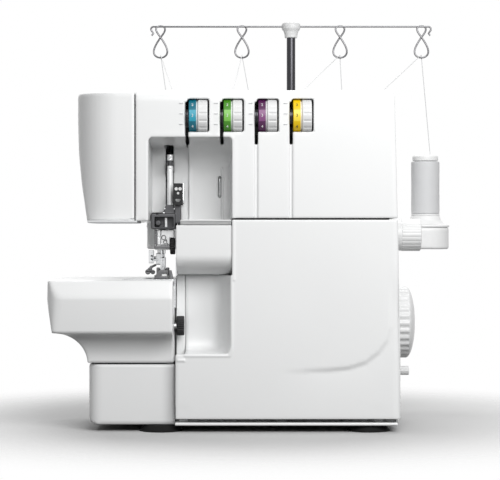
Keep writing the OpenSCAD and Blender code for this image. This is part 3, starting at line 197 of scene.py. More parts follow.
def oval(u, v, ru, rv, a0, a1, n=16):
    angles = [math.radians(a0 + (a1 - a0) * i / n) for i in range(n + 1)]
    return [(u + ru * math.cos(a), v + rv * math.sin(a)) for a in angles]


def arc(u, v, r, a0, a1, n=10):
    return oval(u, v, r, r, a0, a1, n)


def finish_mesh(name, mesh, material, body="root", stands_for=None):
    """Makes a piece with its material. Unless told otherwise it stands for the node of its name."""
    mesh.materials.append(material)
    obj = bpy.data.objects.new(name, mesh)
    bpy.context.scene.collection.objects.link(obj)
    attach(obj, body)
    if stands_for is None:
        stands_for = [name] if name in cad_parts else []
    if stands_for:
        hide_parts(*stands_for)
    return obj


def mesh_form(name, form, a, b, step, flat=0.02):
    """Meshes a form between two corners, with the normals of the field itself."""
    lo_corner = np.array(a, float) - MARGIN * step
    counts = np.ceil((np.array(b, float) + MARGIN * step - lo_corner) / step).astype(int) + 1
    axes = [lo_corner[i] + step * np.arange(counts[i]) for i in range(3)]
    grids = axes[0][:, None, None], axes[1][None, :, None], axes[2][None, None, :]
    field = np.ascontiguousarray(np.broadcast_to(form(*grids), counts), dtype=np.float32)
    grid = openvdb.FloatGrid(background=BAND * step)
    grid.copyFromArray(np.clip(field, -BAND * step, BAND * step))
    points, triangles, quads = grid.convertToPolygons(isovalue=0, adaptivity=flat)
    spot = np.clip(points, 1, np.array(counts) - 2)
    shifts = np.eye(3) * SLOPE_REACH
    normals = np.stack([sample(field, spot + shift) - sample(field, spot - shift) for shift in shifts], 1)
    normals /= np.maximum(np.linalg.norm(normals, axis=1), 1e-9)[:, None]
    faces = [tuple(f) for f in triangles] + [tuple(f) for f in quads]
    mesh = bpy.data.meshes.new(name)
    mesh.from_pydata((points * step + lo_corner) * MM, [], faces)
    face = mesh.polygons[0]
    if np.dot(np.array(face.normal), normals[face.vertices[0]]) < 0:
        mesh.flip_normals()
    mesh.shade_smooth()
    mesh.normals_split_custom_set_from_vertices([tuple(n) for n in normals])
    mesh.validate()
    return mesh


def sample(field, spot):
    """The field between its grid points."""
    base = np.clip(np.floor(spot).astype(int), 0, np.array(field.shape) - 2)
    t = spot - base
    total = 0
    for corner in range(8):
        bit = [(corner >> k) & 1 for k in range(3)]
        weight = np.prod([t[:, k] if bit[k] else 1 - t[:, k] for k in range(3)], axis=0)
        total = total + weight * field[base[:, 0] + bit[0], base[:, 1] + bit[1], base[:, 2] + bit[2]]
    return total


def moulded(name, form, a, b, step, material, body="root", stands_for=None, slot=None, flat=0.02):
    return finish_mesh(name, mesh_form(name, form, a, b, step, flat), material, body, stands_for)


# ---- turned, swept and bevelled pieces ----


def mesh_from(name, points, faces, crease=32, welded=True):
    mesh = bpy.data.meshes.new(name)
    mesh.from_pydata([Vector(p) * MM for p in points], [], faces)
    mesh.shade_smooth()
    mesh.set_sharp_from_angle(angle=math.radians(crease))
    mesh.validate()
    if welded:
        bm = bmesh.new()
        bm.from_mesh(mesh)
        bmesh.ops.remove_doubles(bm, verts=bm.verts, dist=1e-7)
        bmesh.ops.recalc_face_normals(bm, faces=bm.faces)
        bm.to_mesh(mesh)
        bm.free()
    return mesh


def rounded_profile(points, r, n=4):
    """A turning profile whose inner points are rounded by about r."""
    result = [points[0]]
    for before, here, after in zip(points, points[1:], points[2:]):
        p0, p1, p2 = (np.array(p, float) for p in (before, here, after))
        l0, l1 = np.linalg.norm(p0 - p1), np.linalg.norm(p2 - p1)
        cut = min(r, l0 * 0.45, l1 * 0.45)
        s, e = p1 + (p0 - p1) / l0 * cut, p1 + (p2 - p1) / l1 * cut
        for i in range(n + 1):
            t = i / n
            q = s * (1 - t) ** 2 + p1 * 2 * t * (1 - t) + e * t * t
            result.append((float(q[0]), float(q[1])))
    result.append(points[-1])
    return result


def disc(r, h, edge=0.0, bore=0.0):
    """The turning profile of a disc or ring, with its rim rounded by edge."""
    profile = [(bore, 0), (r, 0), (r, h), (bore, h)]
    return rounded_profile(profile, edge) if edge else profile


def lathe(name, profile, axis, place, material, body="root", stands_for=None, slot=None, steps=64, crease=32):
    """Turns (radius, height) points about an axis. A profile that starts off the axis makes a ring."""
    if profile[0][0] > TINY and profile[0] != profile[-1]:
        profile = list(profile) + [profile[0]]
    points, faces, rings = [], [], []
    u, v, w = {"x": (1, 2, 0), "y": (2, 0, 1), "z": (0, 1, 2)}[axis]
    for radius, height in profile:
        ring = []
        for k in range(1 if radius < TINY else steps):
            angle = 2 * math.pi * k / steps
            p = [0.0, 0.0, 0.0]
            p[u] = place[u] + radius * math.cos(angle)
            p[v] = place[v] + radius * math.sin(angle)
            p[w] = place[w] + height
            ring.append(len(points))
            points.append(p)
        rings.append(ring)
    for lower, upper in zip(rings, rings[1:]):
        for k in range(steps):
            corners = (lower, k), (lower, k + 1), (upper, k + 1), (upper, k)
            face = tuple(dict.fromkeys(ring[j % len(ring)] for ring, j in corners))
            if len(face) > 2:
                faces.append(face)
    return finish_mesh(name, mesh_from(name, points, faces, crease), material, body, stands_for)


def tube(name, paths, d, material, body="root", stands_for=None, slot=None, sides=10):
    """Round wires along lists of points, with flat ends, or closed where a path ends at its start."""
    points, faces = [], []
    for path in paths:
        p = np.array(path, float)
        closed = np.linalg.norm(p[0] - p[-1]) < TINY
        if closed:
            p = p[:-1]
        n = len(p)
        ahead = np.roll(p, -1, 0) - np.roll(p, 1, 0)
        if not closed:
            ahead[0], ahead[-1] = p[1] - p[0], p[-1] - p[-2]
        ahead /= np.linalg.norm(ahead, axis=1)[:, None]
        side = np.cross(ahead[0], (0, 1, 0) if abs(ahead[0][1]) < 0.9 else (1, 0, 0))
        first = len(points)
        for i in range(n):
            side = side - ahead[i] * np.dot(side, ahead[i])
            side /= np.linalg.norm(side)
            up = np.cross(ahead[i], side)
            for k in range(sides):
                a = 2 * math.pi * k / sides
                points.append(p[i] + (side * math.cos(a) + up * math.sin(a)) * d / 2)
        for i in range(n if closed else n - 1):
            here, there = first + i * sides, first + (i + 1) % n * sides
            turn = 0
            if closed and i == n - 1:
                gaps = [np.linalg.norm(points[here + k] - points[there]) for k in range(sides)]
                turn = -int(np.argmin(gaps))
            for k in range(sides):
                faces.append((here + k, here + (k + 1) % sides, there + (k + 1 + turn) % sides,
                              there + (k + turn) % sides))
        if not closed:
            faces.append(tuple(first + k for k in reversed(range(sides))))
            faces.append(tuple(first + (n - 1) * sides + k for k in range(sides)))
    return finish_mesh(name, mesh_from(name, points, faces, 60), material, body, stands_for)


# ---- materials ----

NOISE_RANGE = (0.3, 0.7)
# scale of each texture, and the depth of its relief in metres
PATCH_SCALE = 14
GRAIN = (2600, 0.00006)
LINES = (900, 0.00004)
PITS = (420, 0.0002)
RIDGES = (950, 0.0001)
RIBS = (300, 0.0002)


def shader_node(tree, kind, **inputs):
    """A new shader node, with inputs set by their names, where _ stands for a space."""
    return set_inputs(tree.nodes.new("ShaderNode" + kind), **inputs)


def set_inputs(node, **inputs):
    for name, value in inputs.items():
        node.inputs[name.replace("_", " ")].default_value = value
    return node


def shader(name, colour, roughness, metallic=0.0, specular=0.5, coat=0.0):
    material = bpy.data.materials.new(name)
    material.use_nodes = True
    material.diffuse_color = (*colour, 1)
    node = material.node_tree.nodes["Principled BSDF"]
    set_inputs(node, Base_Color=(*colour, 1), Roughness=roughness, Metallic=metallic,
               Specular_IOR_Level=specular, Coat_Weight=coat, Coat_Roughness=0.12)
    return material, node


def object_noise(material, scale, stretch=(1, 1, 1), detail=3.0, roughness=0.5):
    tree = material.node_tree
    place = shader_node(tree, "TexCoord")
    mapping = shader_node(tree, "Mapping", Scale=stretch)
    noise = shader_node(tree, "TexNoise", Scale=scale, Detail=detail, Roughness=roughness)
    tree.links.new(place.outputs["Object"], mapping.inputs["Vector"])
    tree.links.new(mapping.outputs["Vector"], noise.inputs["Vector"])
    return noise


def vary(material, source, socket, a, b):
    """Feeds a texture to a socket as a number between a and b."""
    tree, (start, end) = material.node_tree, NOISE_RANGE
    spread = shader_node(tree, "MapRange", From_Min=start, From_Max=end, To_Min=a, To_Max=b)
    tree.links.new(source.outputs[0], spread.inputs["Value"])
    tree.links.new(spread.outputs["Result"], socket)


def tint(material, source, socket, dark, light):
    """Feeds a texture to a colour socket, between two colours."""
    tree = material.node_tree
    ramp = shader_node(tree, "ValToRGB")
    for element, position, colour in zip(ramp.color_ramp.elements, NOISE_RANGE, (dark, light)):
        element.position, element.color = position, (*colour, 1)
    tree.links.new(source.outputs[0], ramp.inputs["Fac"])
    tree.links.new(ramp.outputs["Color"], socket)


def shaded(colour, share):
    return tuple(c * share for c in colour)


def bump(material, node, source, strength, distance):
    tree = material.node_tree
    relief = shader_node(tree, "Bump", Strength=strength, Distance=distance)
    tree.links.new(source.outputs[0], relief.inputs["Height"])
    tree.links.new(relief.outputs["Normal"], node.inputs["Normal"])


def plastic(name, colour, roughness=0.34, grain=0.05, coat=0.0, specular=0.45, spread=0.02):
    """Moulded plastic: a fine spark-eroded grain, faint changes of gloss and of tone."""
    material, node = shader(name, colour, roughness, specular=specular, coat=coat)
    scale, depth = GRAIN
    broad = object_noise(material, PATCH_SCALE, detail=2)
    vary(material, broad, node.inputs["Roughness"], roughness - spread, roughness + spread)
    tint(material, broad, node.inputs["Base Color"], shaded(colour, 0.99), colour)
    bump(material, node, object_noise(material, scale, detail=2), grain, depth)
    return material


def metal(name, colour, roughness, stretch=(1, 1, 0.02), grain=0.03, spread=0.03, metallic=1.0):
    """Metal with fine drawn or ground lines across the stretched directions."""
    material, node = shader(name, colour, roughness, metallic=metallic)
    scale, depth = LINES
    lines = object_noise(material, scale, stretch, detail=4, roughness=0.65)
    vary(material, lines, node.inputs["Roughness"], max(0.03, roughness - spread), roughness + spread)
    tint(material, lines, node.inputs["Base Color"], shaded(colour, 0.9), colour)
    bump(material, node, lines, grain, depth)
    return material


def casting(name, colour, roughness=0.55):
    material, node = shader(name, colour, roughness, metallic=0.75)
    scale, depth = PITS
    pits = object_noise(material, scale, detail=6, roughness=0.7)
    vary(material, pits, node.inputs["Roughness"], roughness - 0.1, roughness + 0.12)
    tint(material, pits, node.inputs["Base Color"], shaded(colour, 0.8), colour)
    bump(material, node, pits, 0.35, depth)
    return material


def thread_material(name, colour):
    """Fine wound thread: close helical ridges with a soft fibre noise between them."""
    material, node = shader(name, colour, 0.5, specular=0.35)
    set_inputs(node, Sheen_Weight=0.3)
    tree, (scale, depth) = material.node_tree, RIDGES
    place = shader_node(tree, "TexCoord")
    wave = shader_node(tree, "TexWave", Scale=scale, Distortion=1.5, Detail=2)
    wave.bands_direction = "Z"
    tree.links.new(place.outputs["Object"], wave.inputs["Vector"])
    tint(material, wave, node.inputs["Base Color"], shaded(colour, 0.86), colour)
    bump(material, node, wave, 0.35, depth)
    return material


def lens_material(name):
    material, node = shader(name, (0.9, 0.91, 0.86), 0.25, specular=0.5)
    set_inputs(node, Subsurface_Weight=0.2, Subsurface_Radius=(0.004, 0.004, 0.003))
    scale, depth = RIBS
    bump(material, node, object_noise(material, scale, (1, 4, 1), detail=1), 0.3, depth)
    return material


WHITE = plastic("shell white", (0.84, 0.846, 0.846), 0.3, coat=0.15)
INNER = plastic("trim white", (0.82, 0.825, 0.825), 0.42, 0.12)
# Knob plastic, set darker than the shell white as painted shade on the knobs, dial drums, handwheel and
# antenna cap.
SHADED_KNOB_WHITE = plastic("knob white, painted shade", (0.72, 0.724, 0.724))
SEAT_WHITE = plastic("stand white", (0.85, 0.853, 0.853), 0.38, 0.08)
BLACK = plastic("black plastic", (0.012, 0.012, 0.013), 0.34, 0.2, specular=0.3)
RUBBER = plastic("rubber", (0.012, 0.012, 0.012), 0.72, 0.6, specular=0.1)
# Printed grey for the dial ticks, and painted shade on the lamp bezel under the head.
GREY_PRINT_AND_SHADE = plastic("printed grey and painted shade", (0.68, 0.69, 0.70), 0.5)
DARK_MARK = plastic("printed black", (0.02, 0.02, 0.022), 0.5)
WHITE_MARK = plastic("printed white", (0.82, 0.82, 0.82), 0.5)
BRIGHT = metal("bright steel", (0.95, 0.955, 0.96), 0.24, metallic=0.4)
CHROME = metal("polished steel", (0.86, 0.87, 0.88), 0.09)
BRUSHED = metal("ground steel", (0.74, 0.75, 0.76), 0.28, (0.03, 1, 1), 0.14, 0.06)
DARK_STEEL = metal("dark steel", (0.16, 0.16, 0.165), 0.34, (1, 1, 0.05), 0.12, 0.06)
# Steel painted near-black: on the antenna tubes a painted dark reflection of a polished pole, on the tension
# discs painted shade in the slots.
PAINTED_DARK_STEEL = metal("steel, painted dark reflection and shade", (0.055, 0.055, 0.06), 0.2)
# Bright guide wire painted dark grey, as a painted dark reflection.
PAINTED_DARK_WIRE = metal("guide wire, painted dark reflection", (0.17, 0.17, 0.175), 0.2, (0.05, 1, 1), 0.08, 0.06)
ALLOY = casting("cast alloy", (0.42, 0.43, 0.44))
# Dark casting, used also as painted shade on the needle bar's neck ring and on the tension bracket.
DARK_CAST_AND_SHADE = casting("dark casting and painted shade", (0.10, 0.10, 0.105))
THREAD = thread_material("pale thread", (0.74, 0.745, 0.755))
LENS = lens_material("lamp lens")

# ---- measures read from the frame, and places that the covers share ----

FRONT = low("front_cover").y
REAR = high("rear_cover").y
TOP = high("front_cover").z
BODY_LEFT = low("front_cover").x
COLUMN = low("looper_cover").x - 2
RIGHT = high("looper_cover").x
FOOT_H = high("rubber_feet").z
HEAD_BOTTOM = low("face_cover").z
DOOR_TOP = high("looper_cover").z
SEAM = high("front_cover").y + 0.3
SPLIT = DOOR_TOP + 1.2
WALL = 2.8
# the right side is upright to LEAN_Z, and leans in by LEAN from there to the top
LEAN = 6.3
LEAN_Z = 66.0
FRONT_R = 12.0
REAR_R = 24.0
CORNER_R = 8.0
GAP = 0.3
# how far a cutting or limiting shape goes past the body
FAR = 60
POCKET = (-102.5, -27.2)
POCKET_TOP = 266.4
POCKET_BACK = FRONT + 58
SHELF_LEFT = COLUMN + 5
SHELF_Z = DOOR_TOP - 5
BAY_BOTTOM = 66.6
BAY_BACK = FRONT + 36
BAY_TOP = 137
GUARD_LOW = low("knife_guard").z
DIAL_PITCH = low("tension_dial_2").x - low("tension_dial_1").x
DIAL = middle("tension_dial_1")
DIAL_R = (high("tension_dial_1").z - low("tension_dial_1").z) / 2
SLOT_W = 2.8
SLOT_0 = low("tension_dial_1").x - 0.5 - SLOT_W
WINDOW_W = 21.5
NEEDLE = middle("needle_bar")
FOOT_PIVOT = (FRONT + 57, high("cloth_plate_cover").z + 7.4)
LIFTER = (-106.5, 207)
THREAD_EYES = (-83, -27, 37, 112)


def right_face(z):
    return RIGHT - LEAN * max(0, z - LEAN_Z) / (TOP - LEAN_Z)


def slot_x(i):
    return SLOT_0 + DIAL_PITCH * i


# ---- covers ----


def body_form():
    outline = [(COLUMN, FOOT_H), (RIGHT, FOOT_H), (RIGHT, LEAN_Z)]
    outline += arc(right_face(TOP) - 7, TOP - 7, 7, 0, 90)
    outline += [(BODY_LEFT, TOP), (BODY_LEFT, HEAD_BOTTOM), (COLUMN, HEAD_BOTTOM)]
    side = [(FRONT, FOOT_H), (REAR, FOOT_H)]
    side += arc(REAR - REAR_R, TOP - REAR_R, REAR_R, 0, 90, 16)
    side += arc(FRONT + FRONT_R, TOP - FRONT_R, FRONT_R, 90, 180, 12)
    plan = [(BODY_LEFT, FRONT)] + arc(RIGHT - CORNER_R, FRONT + CORNER_R, CORNER_R, -90, 0)
    plan += arc(RIGHT - CORNER_R, REAR - CORNER_R, CORNER_R, 0, 90) + [(BODY_LEFT, REAR)]
    a = prism("y", outline, FRONT - FAR, REAR + FAR, 0)
    b = prism("x", side, BODY_LEFT - FAR, RIGHT + FAR, 0)
    c = prism("z", plan, -FAR, TOP + FAR, 0)
    return a.meet(b, 2.5).meet(c, 2.5)


def pocket_form():
    """The hollow round the needle bar: a deep left part, and a scooped right part."""
    low_z = HEAD_BOTTOM - 20
    front = [(POCKET[0], low_z), (POCKET[1], low_z), (POCKET[1], POCKET_TOP), (POCKET[0], POCKET_TOP)]
    mouth = prism("y", front, FRONT - 10, POCKET_BACK, 0, corner=4.2)
    split = SLOT_0 + SLOT_W / 2
    deep = [(FRONT - 10, POCKET_TOP + 1.2), (POCKET_BACK, POCKET_TOP - 7.4), (POCKET_BACK, low_z),
            (FRONT - 10, low_z)]
    left = prism("x", deep, POCKET[0], split, 0)
    near = POCKET_BACK - 2.2
    scoop = [(FRONT - 10, POCKET_TOP), (FRONT + 14, POCKET_TOP - 0.6)]
    scoop += oval(FRONT + 14, POCKET_TOP - 30, near - FRONT - 14, 29.4, 90, 0, 20)
    scoop += [(near, SHELF_Z + 5), (FRONT - 10, SHELF_Z + 5)]
    plan = [(split - 6, FRONT - 10), (POCKET[1], FRONT - 10), (POCKET[1], near), (split - 6, near)]
    right = prism("x", scoop, split - 1, POCKET[1], 0).meet(prism("z", plan, 0, 400, 0, corner=9.5), 1)
    under = box((POCKET[0], FRONT - 10, low_z), (SHELF_LEFT, POCKET_BACK, SHELF_Z + 12), 0)
    return left.join(right).join(under).meet(mouth)


def front_cover():
    region = union([
        box((BODY_LEFT, FRONT - 5, SPLIT), (RIGHT, SEAM - GAP, TOP + 5), 0),
        box((BODY_LEFT, FRONT - 5, HEAD_BOTTOM - 5), (COLUMN + WALL, SEAM - GAP, SPLIT + 1), 0),
    ])
    pocket = pocket_form()
    back, shelf_right = POCKET_BACK + WALL, POCKET[1] - 0.4
    room = box((POCKET[0] - WALL, FRONT + 0.6, HEAD_BOTTOM), (POCKET[1] + WALL, back, TOP), 0)
    lip = [(FRONT + 0.8, DOOR_TOP), (FRONT + 0.8, DOOR_TOP - 0.7), (FRONT + 5.4, SHELF_Z),
           (POCKET_BACK + 1, SHELF_Z), (POCKET_BACK + 1, DOOR_TOP)]
    shelf = prism("x", lip, SHELF_LEFT, shelf_right, 0.5)
    keep_out = union([
        box((SHELF_LEFT, FRONT - 5, SHELF_Z - 30), (shelf_right, REAR, SHELF_Z), 0),
        box((shelf_right, FRONT - 5, SHELF_Z - 30), (RIGHT, REAR, SPLIT), 0),
    ])
    form = body_form().shell(WALL).meet(region, 0.8).join(pocket.grow(WALL).meet(room), 0.6)
    form = form.cut(pocket, 1.6).cut(keep_out, 0.5).join(shelf)
    cuts = []
    for i in range(4):
        x, z, end = slot_x(i), DIAL.z, slot_x(i) + SLOT_W
        scoop = [(FRONT - 3, z + 20.4), (FRONT - 3, z + 13), (FRONT + 3.8, z + 13)]
        cuts += [
            box((x, FRONT - 5, z - 25.6), (end, FRONT + WALL + 8, z + 12.4), 0.3),
            box((end - 1, FRONT - 5, z - 14.4), (x + WINDOW_W, FRONT + WALL + 4, z + 15.2), 1.8),
            prism("x", scoop, end + 0.2, x + WINDOW_W - 0.4, 0.6),
            box((x + 0.1, FRONT - 5, SPLIT - 2), (end - 0.1, FRONT + 2.2, z - 20), 0.3) if i > 1 else
            box((x, FRONT + 5, z - 24), (end, back + 6, POCKET_TOP + 6), 0.3),
        ]
    # the two slots run on down the pocket's back as fine grooves
    for x, top in ((slot_x(0) - 0.4, POCKET_TOP + 2), (slot_x(1) + 0.6, 241)):
        cuts.append(box((x, FRONT + 20, DOOR_TOP), (x + 1.3, POCKET_BACK - 1.2, top), 0.3))
    left, right, eye = NEEDLE.x - 4.8, NEEDLE.x + 2.4, slot_x(1) - 2.4
    cuts += [
        box((left, POCKET_BACK - 2, 206), (right, back + 2, 262), 0.4),
        box((left, POCKET_BACK - 16, 256), (right, back + 2, 272), 0.4),
        box((POCKET[0], POCKET_BACK - 1, HEAD_BOTTOM - 8), (NEEDLE.x + 9, SEAM + 3, HEAD_BOTTOM + 8), 0.2),
        box((eye, POCKET_BACK - 6, 213), (eye + 2.6, POCKET_BACK + 1, 233), 1.1),
    ]
    form = form.cut(union(cuts), 0.35)
    moulded("front_cover", form, (BODY_LEFT, FRONT, SHELF_Z), (RIGHT, SEAM, TOP), 1.0, WHITE)


def rear_cover():
    region = union([
        box((BODY_LEFT, SEAM + GAP, HEAD_BOTTOM - 5), (RIGHT + 1, REAR + 1, TOP + 5), 0),
        box((COLUMN - 1, FRONT + 23.2, FOOT_H), (RIGHT + 1, REAR + 1, DOOR_TOP), 0),
    ])
    grip = box((-50, 2, TOP - 30), (60, 28, TOP + 20), 5)
    walls = grip.grow(WALL).meet(body_form())
    near, inner = (COLUMN - 4, FRONT - 5), COLUMN + WALL + 1
    openings = [
        box((*near, 12), (inner, high("knife_guard").y + 16, HEAD_BOTTOM - 0.5), 0),
        box((*near, 0), (inner, high("cloth_plate_cover").y + 1, BAY_TOP), 0),
        box((*near, HEAD_BOTTOM - 0.6), (inner, SEAM + GAP, DOOR_TOP + 2), 0),
        box((*near, 0), (RIGHT - WALL - 0.3, REAR - WALL, FOOT_H + 3), 0),
        rod("y", (middle("presser_lifter").x, LIFTER[1]), 7, REAR - 9, REAR + 5),
    ]
    for node, d in (("main_shaft", 14), ("stitch_dial", 10), ("feed_knob", 7)):
        openings.append(rod("x", middle(node)[1:], d, RIGHT - 20, RIGHT + 9))
    for node, half, bottom, top in (("power_switch", 8, 56, 68), ("power_inlet", 12, 25, 43)):
        y = middle(node).y
        openings.append(box((RIGHT - 8, y - half, bottom), (RIGHT + 4, y + half, top), 0.5))
    # louvres for the motor's air
    for x in range(-24, 80, 12):
        openings.append(box((x, REAR - 8, 30), (x + 4, REAR + 5, 66), 1.9))
    form = body_form().shell(WALL).meet(region, 0.8).join(walls, 2.5).cut(grip, 2.2).cut(union(openings), 0.5)
    moulded("rear_cover", form, (BODY_LEFT, FRONT + 20, FOOT_H), (RIGHT, REAR, TOP), 1.5, WHITE)


def face_cover():
    a, b = low("face_cover"), high("face_cover") + Vector((0, 0, 1.5))
    edge = b.x
    outline = [(edge + 9, a.z), (edge + 9, b.z)] + arc(a.x + 4, b.z - 4, 4, 90, 172)
    outline += [(a.x, b.z - 22), (a.x + 1.5, a.z + 64), (a.x + 5, a.z + 36), (a.x + 11, a.z)]
    rear_r, front_r = 26, 38
    plan = [(edge + 9, a.y), (edge + 9, b.y)] + arc(a.x + rear_r, b.y - rear_r, rear_r, 90, 180, 14)
    plan += arc(a.x + front_r, a.y + front_r, front_r, 180, 270, 20)
    form = prism("y", outline, a.y - 50, b.y + 50, 0).meet(prism("z", plan, a.z - 50, b.z + 50, 0), 3)
    form = form.meet(box((a.x - 9, a.y, a.z), (edge + 9, b.y, b.z + 9), 1.2)).shell(WALL)
    form = form.meet(box((a.x - 9, a.y - 9, a.z - 9), (edge + 0.35, b.y + 9, b.z + 9), 0), 0.1)
    c, d = span("lamp")
    hole = box((c.x + 3, c.y + 3, a.z - 3), (d.x - 3, d.y - 3, a.z + WALL + 2), 1)
    notch = box((edge - 4, FRONT - 5, a.z - 1), (edge + 1, FRONT + 3, a.z + 2), 0.4)
    moulded("head_cover", form.cut(hole, 0.5).cut(notch), a, b, 1.0, WHITE, stands_for=["face_cover"])


def knife_guard():
    a, b = span("knife_guard")
    knee = 160
    outer = [(b.y, b.z), (a.y, b.z)] + oval(a.y + 32, knee, 32, knee - a.z, 180, 270, 24) + [(b.y, a.z)]
    inner = [(b.y + 3, b.z + 3), (a.y + 2.4, b.z + 3)]
    inner += oval(a.y + 32, knee, 29.6, knee - a.z - 2.4, 180, 270, 24) + [(b.y + 3, a.z + 2.4)]
    form = prism("x", outer, a.x, b.x + 0.3, 0.25).cut(prism("x", inner, a.x + 2.4, b.x - 2.4, 0), 0.4)
    moulded("knife_guard", form, a, b, 0.65, WHITE)


def cloth_cover():
    a, b = span("cloth_plate_cover")
    proud = FRONT - a.y
    crease, apron, base_left = 121.2, 90.0, -158.4
    edge, foot = b.x, a.z
    outline = [(edge, foot), (edge, b.z)] + arc(a.x + 4, b.z - 4, 4, 90, 150, 6) + [(a.x, crease)]
    left = a.x + 5.5
    outline += oval(left, foot, base_left - left, apron - foot, 90, 0, 24)
    side = [(b.y, foot), (b.y, b.z)] + arc(a.y + 8.5, b.z - 2.5, 2.5, 90, 150, 6) + [(a.y, crease)]
    side += [(a.y + 2.6, apron + 2)] + arc(a.y + 6.6, apron + 3, 4, 200, 262, 6)
    side += oval(a.y + 7, foot, proud + 3, apron - 1 - foot, 90, 0, 24)
    rear_r, front_r = 20, 16
    plan = [(edge, a.y), (edge, b.y)] + arc(a.x + rear_r, b.y - rear_r, rear_r, 90, 180, 14)
    plan += arc(a.x + front_r, a.y + front_r, front_r, 180, 270, 14)
    form = prism("y", outline, a.y - 50, b.y + 50, 0).meet(prism("x", side, a.x - 50, edge, 0), 2)
    form = form.meet(prism("z", plan, foot, b.z + 50, 0), 2)
    form = form.meet(box((a.x - 9, a.y - 9, foot), (edge, b.y + 9, b.z), 1.4))
    plate_a, plate_b = span("needle_plate")
    hole = box((plate_a.x - 0.6, plate_a.y - 0.6, plate_a.z - 4), (edge + 5, plate_b.y + 0.6, b.z + 5), 0.3)
    form = form.shell(WALL).cut(hole, 0.5)
    moulded("cloth_plate_cover", form, a, b, 1.0, WHITE, "cloth_cover")


def door_relief(x, z):
    """Depth of the soft crease pressed into the door, which fades out at both ends."""
    path = [(113.4, 155), (113.4, 95), (110.5, 84), (103, 74), (92, 65.5), (78, 61), (60, 59.2), (10, 58)]
    depth, wide, long, fade_in, fade_out = 2.0, 5.5, 22, 45, 60
    best, along, total = np.full(np.broadcast(x, z).shape, 1e9), 0, 0
    for (ax, az), (bx, bz) in zip(path, path[1:]):
        ex, ez, wx, wz = bx - ax, bz - az, x - ax, z - az
        length = math.hypot(ex, ez)
        t = np.clip((wx * ex + wz * ez) / length ** 2, 0, 1)
        gap = np.hypot(wx - t * ex, wz - t * ez)
        near = gap < np.abs(best)
        best = np.where(near, gap * np.where(wx * ez - wz * ex < 0, 1.0, -1.0), best)
        along = np.where(near, total + t * length, along)
        total += length
    fade = np.clip(along / fade_in, 0, 1) * np.clip((total - along) / fade_out, 0, 1)
    outside = np.clip(best / wide, 0, 1)
    ease = [t * t * (3 - 2 * t) for t in (fade, outside)]
    return depth * ease[0] * ease[1] * np.exp(-np.maximum(best, 0) / long)


def looper_cover():
    a, b = span("looper_cover")
    right, near = POCKET[1], FRONT - 20
    bay = [(COLUMN - 30, near), (right + 3.5, near), (right - 0.6, FRONT + 6), (right - 11.6, BAY_BACK),
           (COLUMN - 30, BAY_BACK)]
    hollow = prism("z", bay, BAY_BOTTOM, 400, 0, corner=11)
    hollow = hollow.meet(box((-200, near, BAY_BOTTOM), (right, REAR, 400), 0), 8)
    hollow = hollow.meet(Form(lambda x, y, z: (BAY_BOTTOM - z) * 0.96 + (y - FRONT) * 0.1 + 0 * x), 14)
    skin_region = union([
        box((right, FRONT - 5, a.z), (RIGHT + 5, FRONT + 20, b.z), 0),
        box((a.x - 1.5, FRONT - 5, a.z), (right + 1, FRONT + WALL, BAY_BOTTOM + 5), 0),
    ])
    floor = BAY_BOTTOM - WALL
    wall_region = box((a.x + 6.5, FRONT, floor), (right + WALL, BAY_BACK + WALL, GUARD_LOW - 0.2), 0.1)
    ledge = box((a.x, FRONT, floor), (a.x + 8, FRONT + 12, BAY_BOTTOM), 0.8)
    side_wall = box((right, FRONT, BAY_TOP), (right + WALL, FRONT + 10, b.z), 0.5)
    body = body_form()
    dented = Form(lambda x, y, z: body(x, y, z) + np.where(y < FRONT + 8, door_relief(x, z), 0))
    form = dented.shell(WALL).meet(skin_region, 0.5).join(hollow.grow(WALL).meet(wall_region), 0.6)
    form = form.join(ledge).join(side_wall).cut(hollow, 2.4)
    hinge, cuts = middle("hinge_rod"), []
    for x in (a.x + 12, RIGHT - 40):
        form = form.join(rod("x", hinge[1:], 7.2, x, x + 8))
        form = form.join(box((x, FRONT + 1, hinge.z), (x + 8, hinge.y + 2.6, hinge.z + 14), 0.6))
        cuts.append(rod("x", hinge[1:], 3.1, x - 1, x + 9))
    for x in (a.x + 2, RIGHT - 24):
        cuts.append(box((x - 7, FRONT + 2, a.z - 5), (x + 9, hinge.y + 8, hinge.z + 8), 0.4))
    corners = (a.x - 1.5, a.y, a.z), (b.x, BAY_BACK + WALL, b.z)
    form = form.cut(union(cuts), 0.2)
    moulded("looper_cover", form, *corners, 1.0, WHITE, "door", ["looper_cover", "door_bay"])


def base_pan():
    a, b = span("base_pan")
    left, top, near = low("looper_cover").x, GUARD_LOW - 0.2, BAY_BACK + WALL
    form = box((COLUMN, a.y, a.z), (b.x, b.y, a.z + 3), 0.6)
    form = form.join(box((COLUMN, FRONT + 28, a.z), (b.x, FRONT + 28 + WALL, BAY_BOTTOM - 9), 0.6), 1)
    form = form.join(box((COLUMN + 0.2, BAY_BACK, a.z), (left + 6.45, near, top), 0))
    form = form.join(box((left, near + 0.3, a.z), (left + 12, near + WALL, top), 0.1))
    moulded("base_pan", form, a, (b.x, b.y, top), 1.2, WHITE, slot="shell_grey")


def base_box():
    """The box under the cloth plate, open at the top and towards the column."""
    a, b = span("base_box")
    foot_r, plan_r = 8, 12
    outline = [(b.x + 20, a.z), (b.x + 20, b.z + 20), (a.x, b.z + 20)]
    outline += arc(a.x + foot_r, a.z + foot_r, foot_r, 180, 270)
    plan = [(b.x + 20, a.y), (b.x + 20, b.y)] + arc(a.x + plan_r, b.y - plan_r, plan_r, 90, 180)
    plan += arc(a.x + plan_r, a.y + plan_r, plan_r, 180, 270)
    form = prism("y", outline, a.y - 50, b.y + 50, 0).meet(prism("z", plan, -50, b.z + 50, 0), 2.5)
    form = form.meet(box((a.x - 9, a.y, a.z), (b.x + 30, b.y, b.z + 30), 1.5)).shell(WALL)
    form = form.meet(box((a.x - 9, a.y - 9, a.z - 9), (b.x, b.y + 9, b.z), 0.4))
    moulded("base_box", form, a, b, 1.2, WHITE, slot="shell_grey")


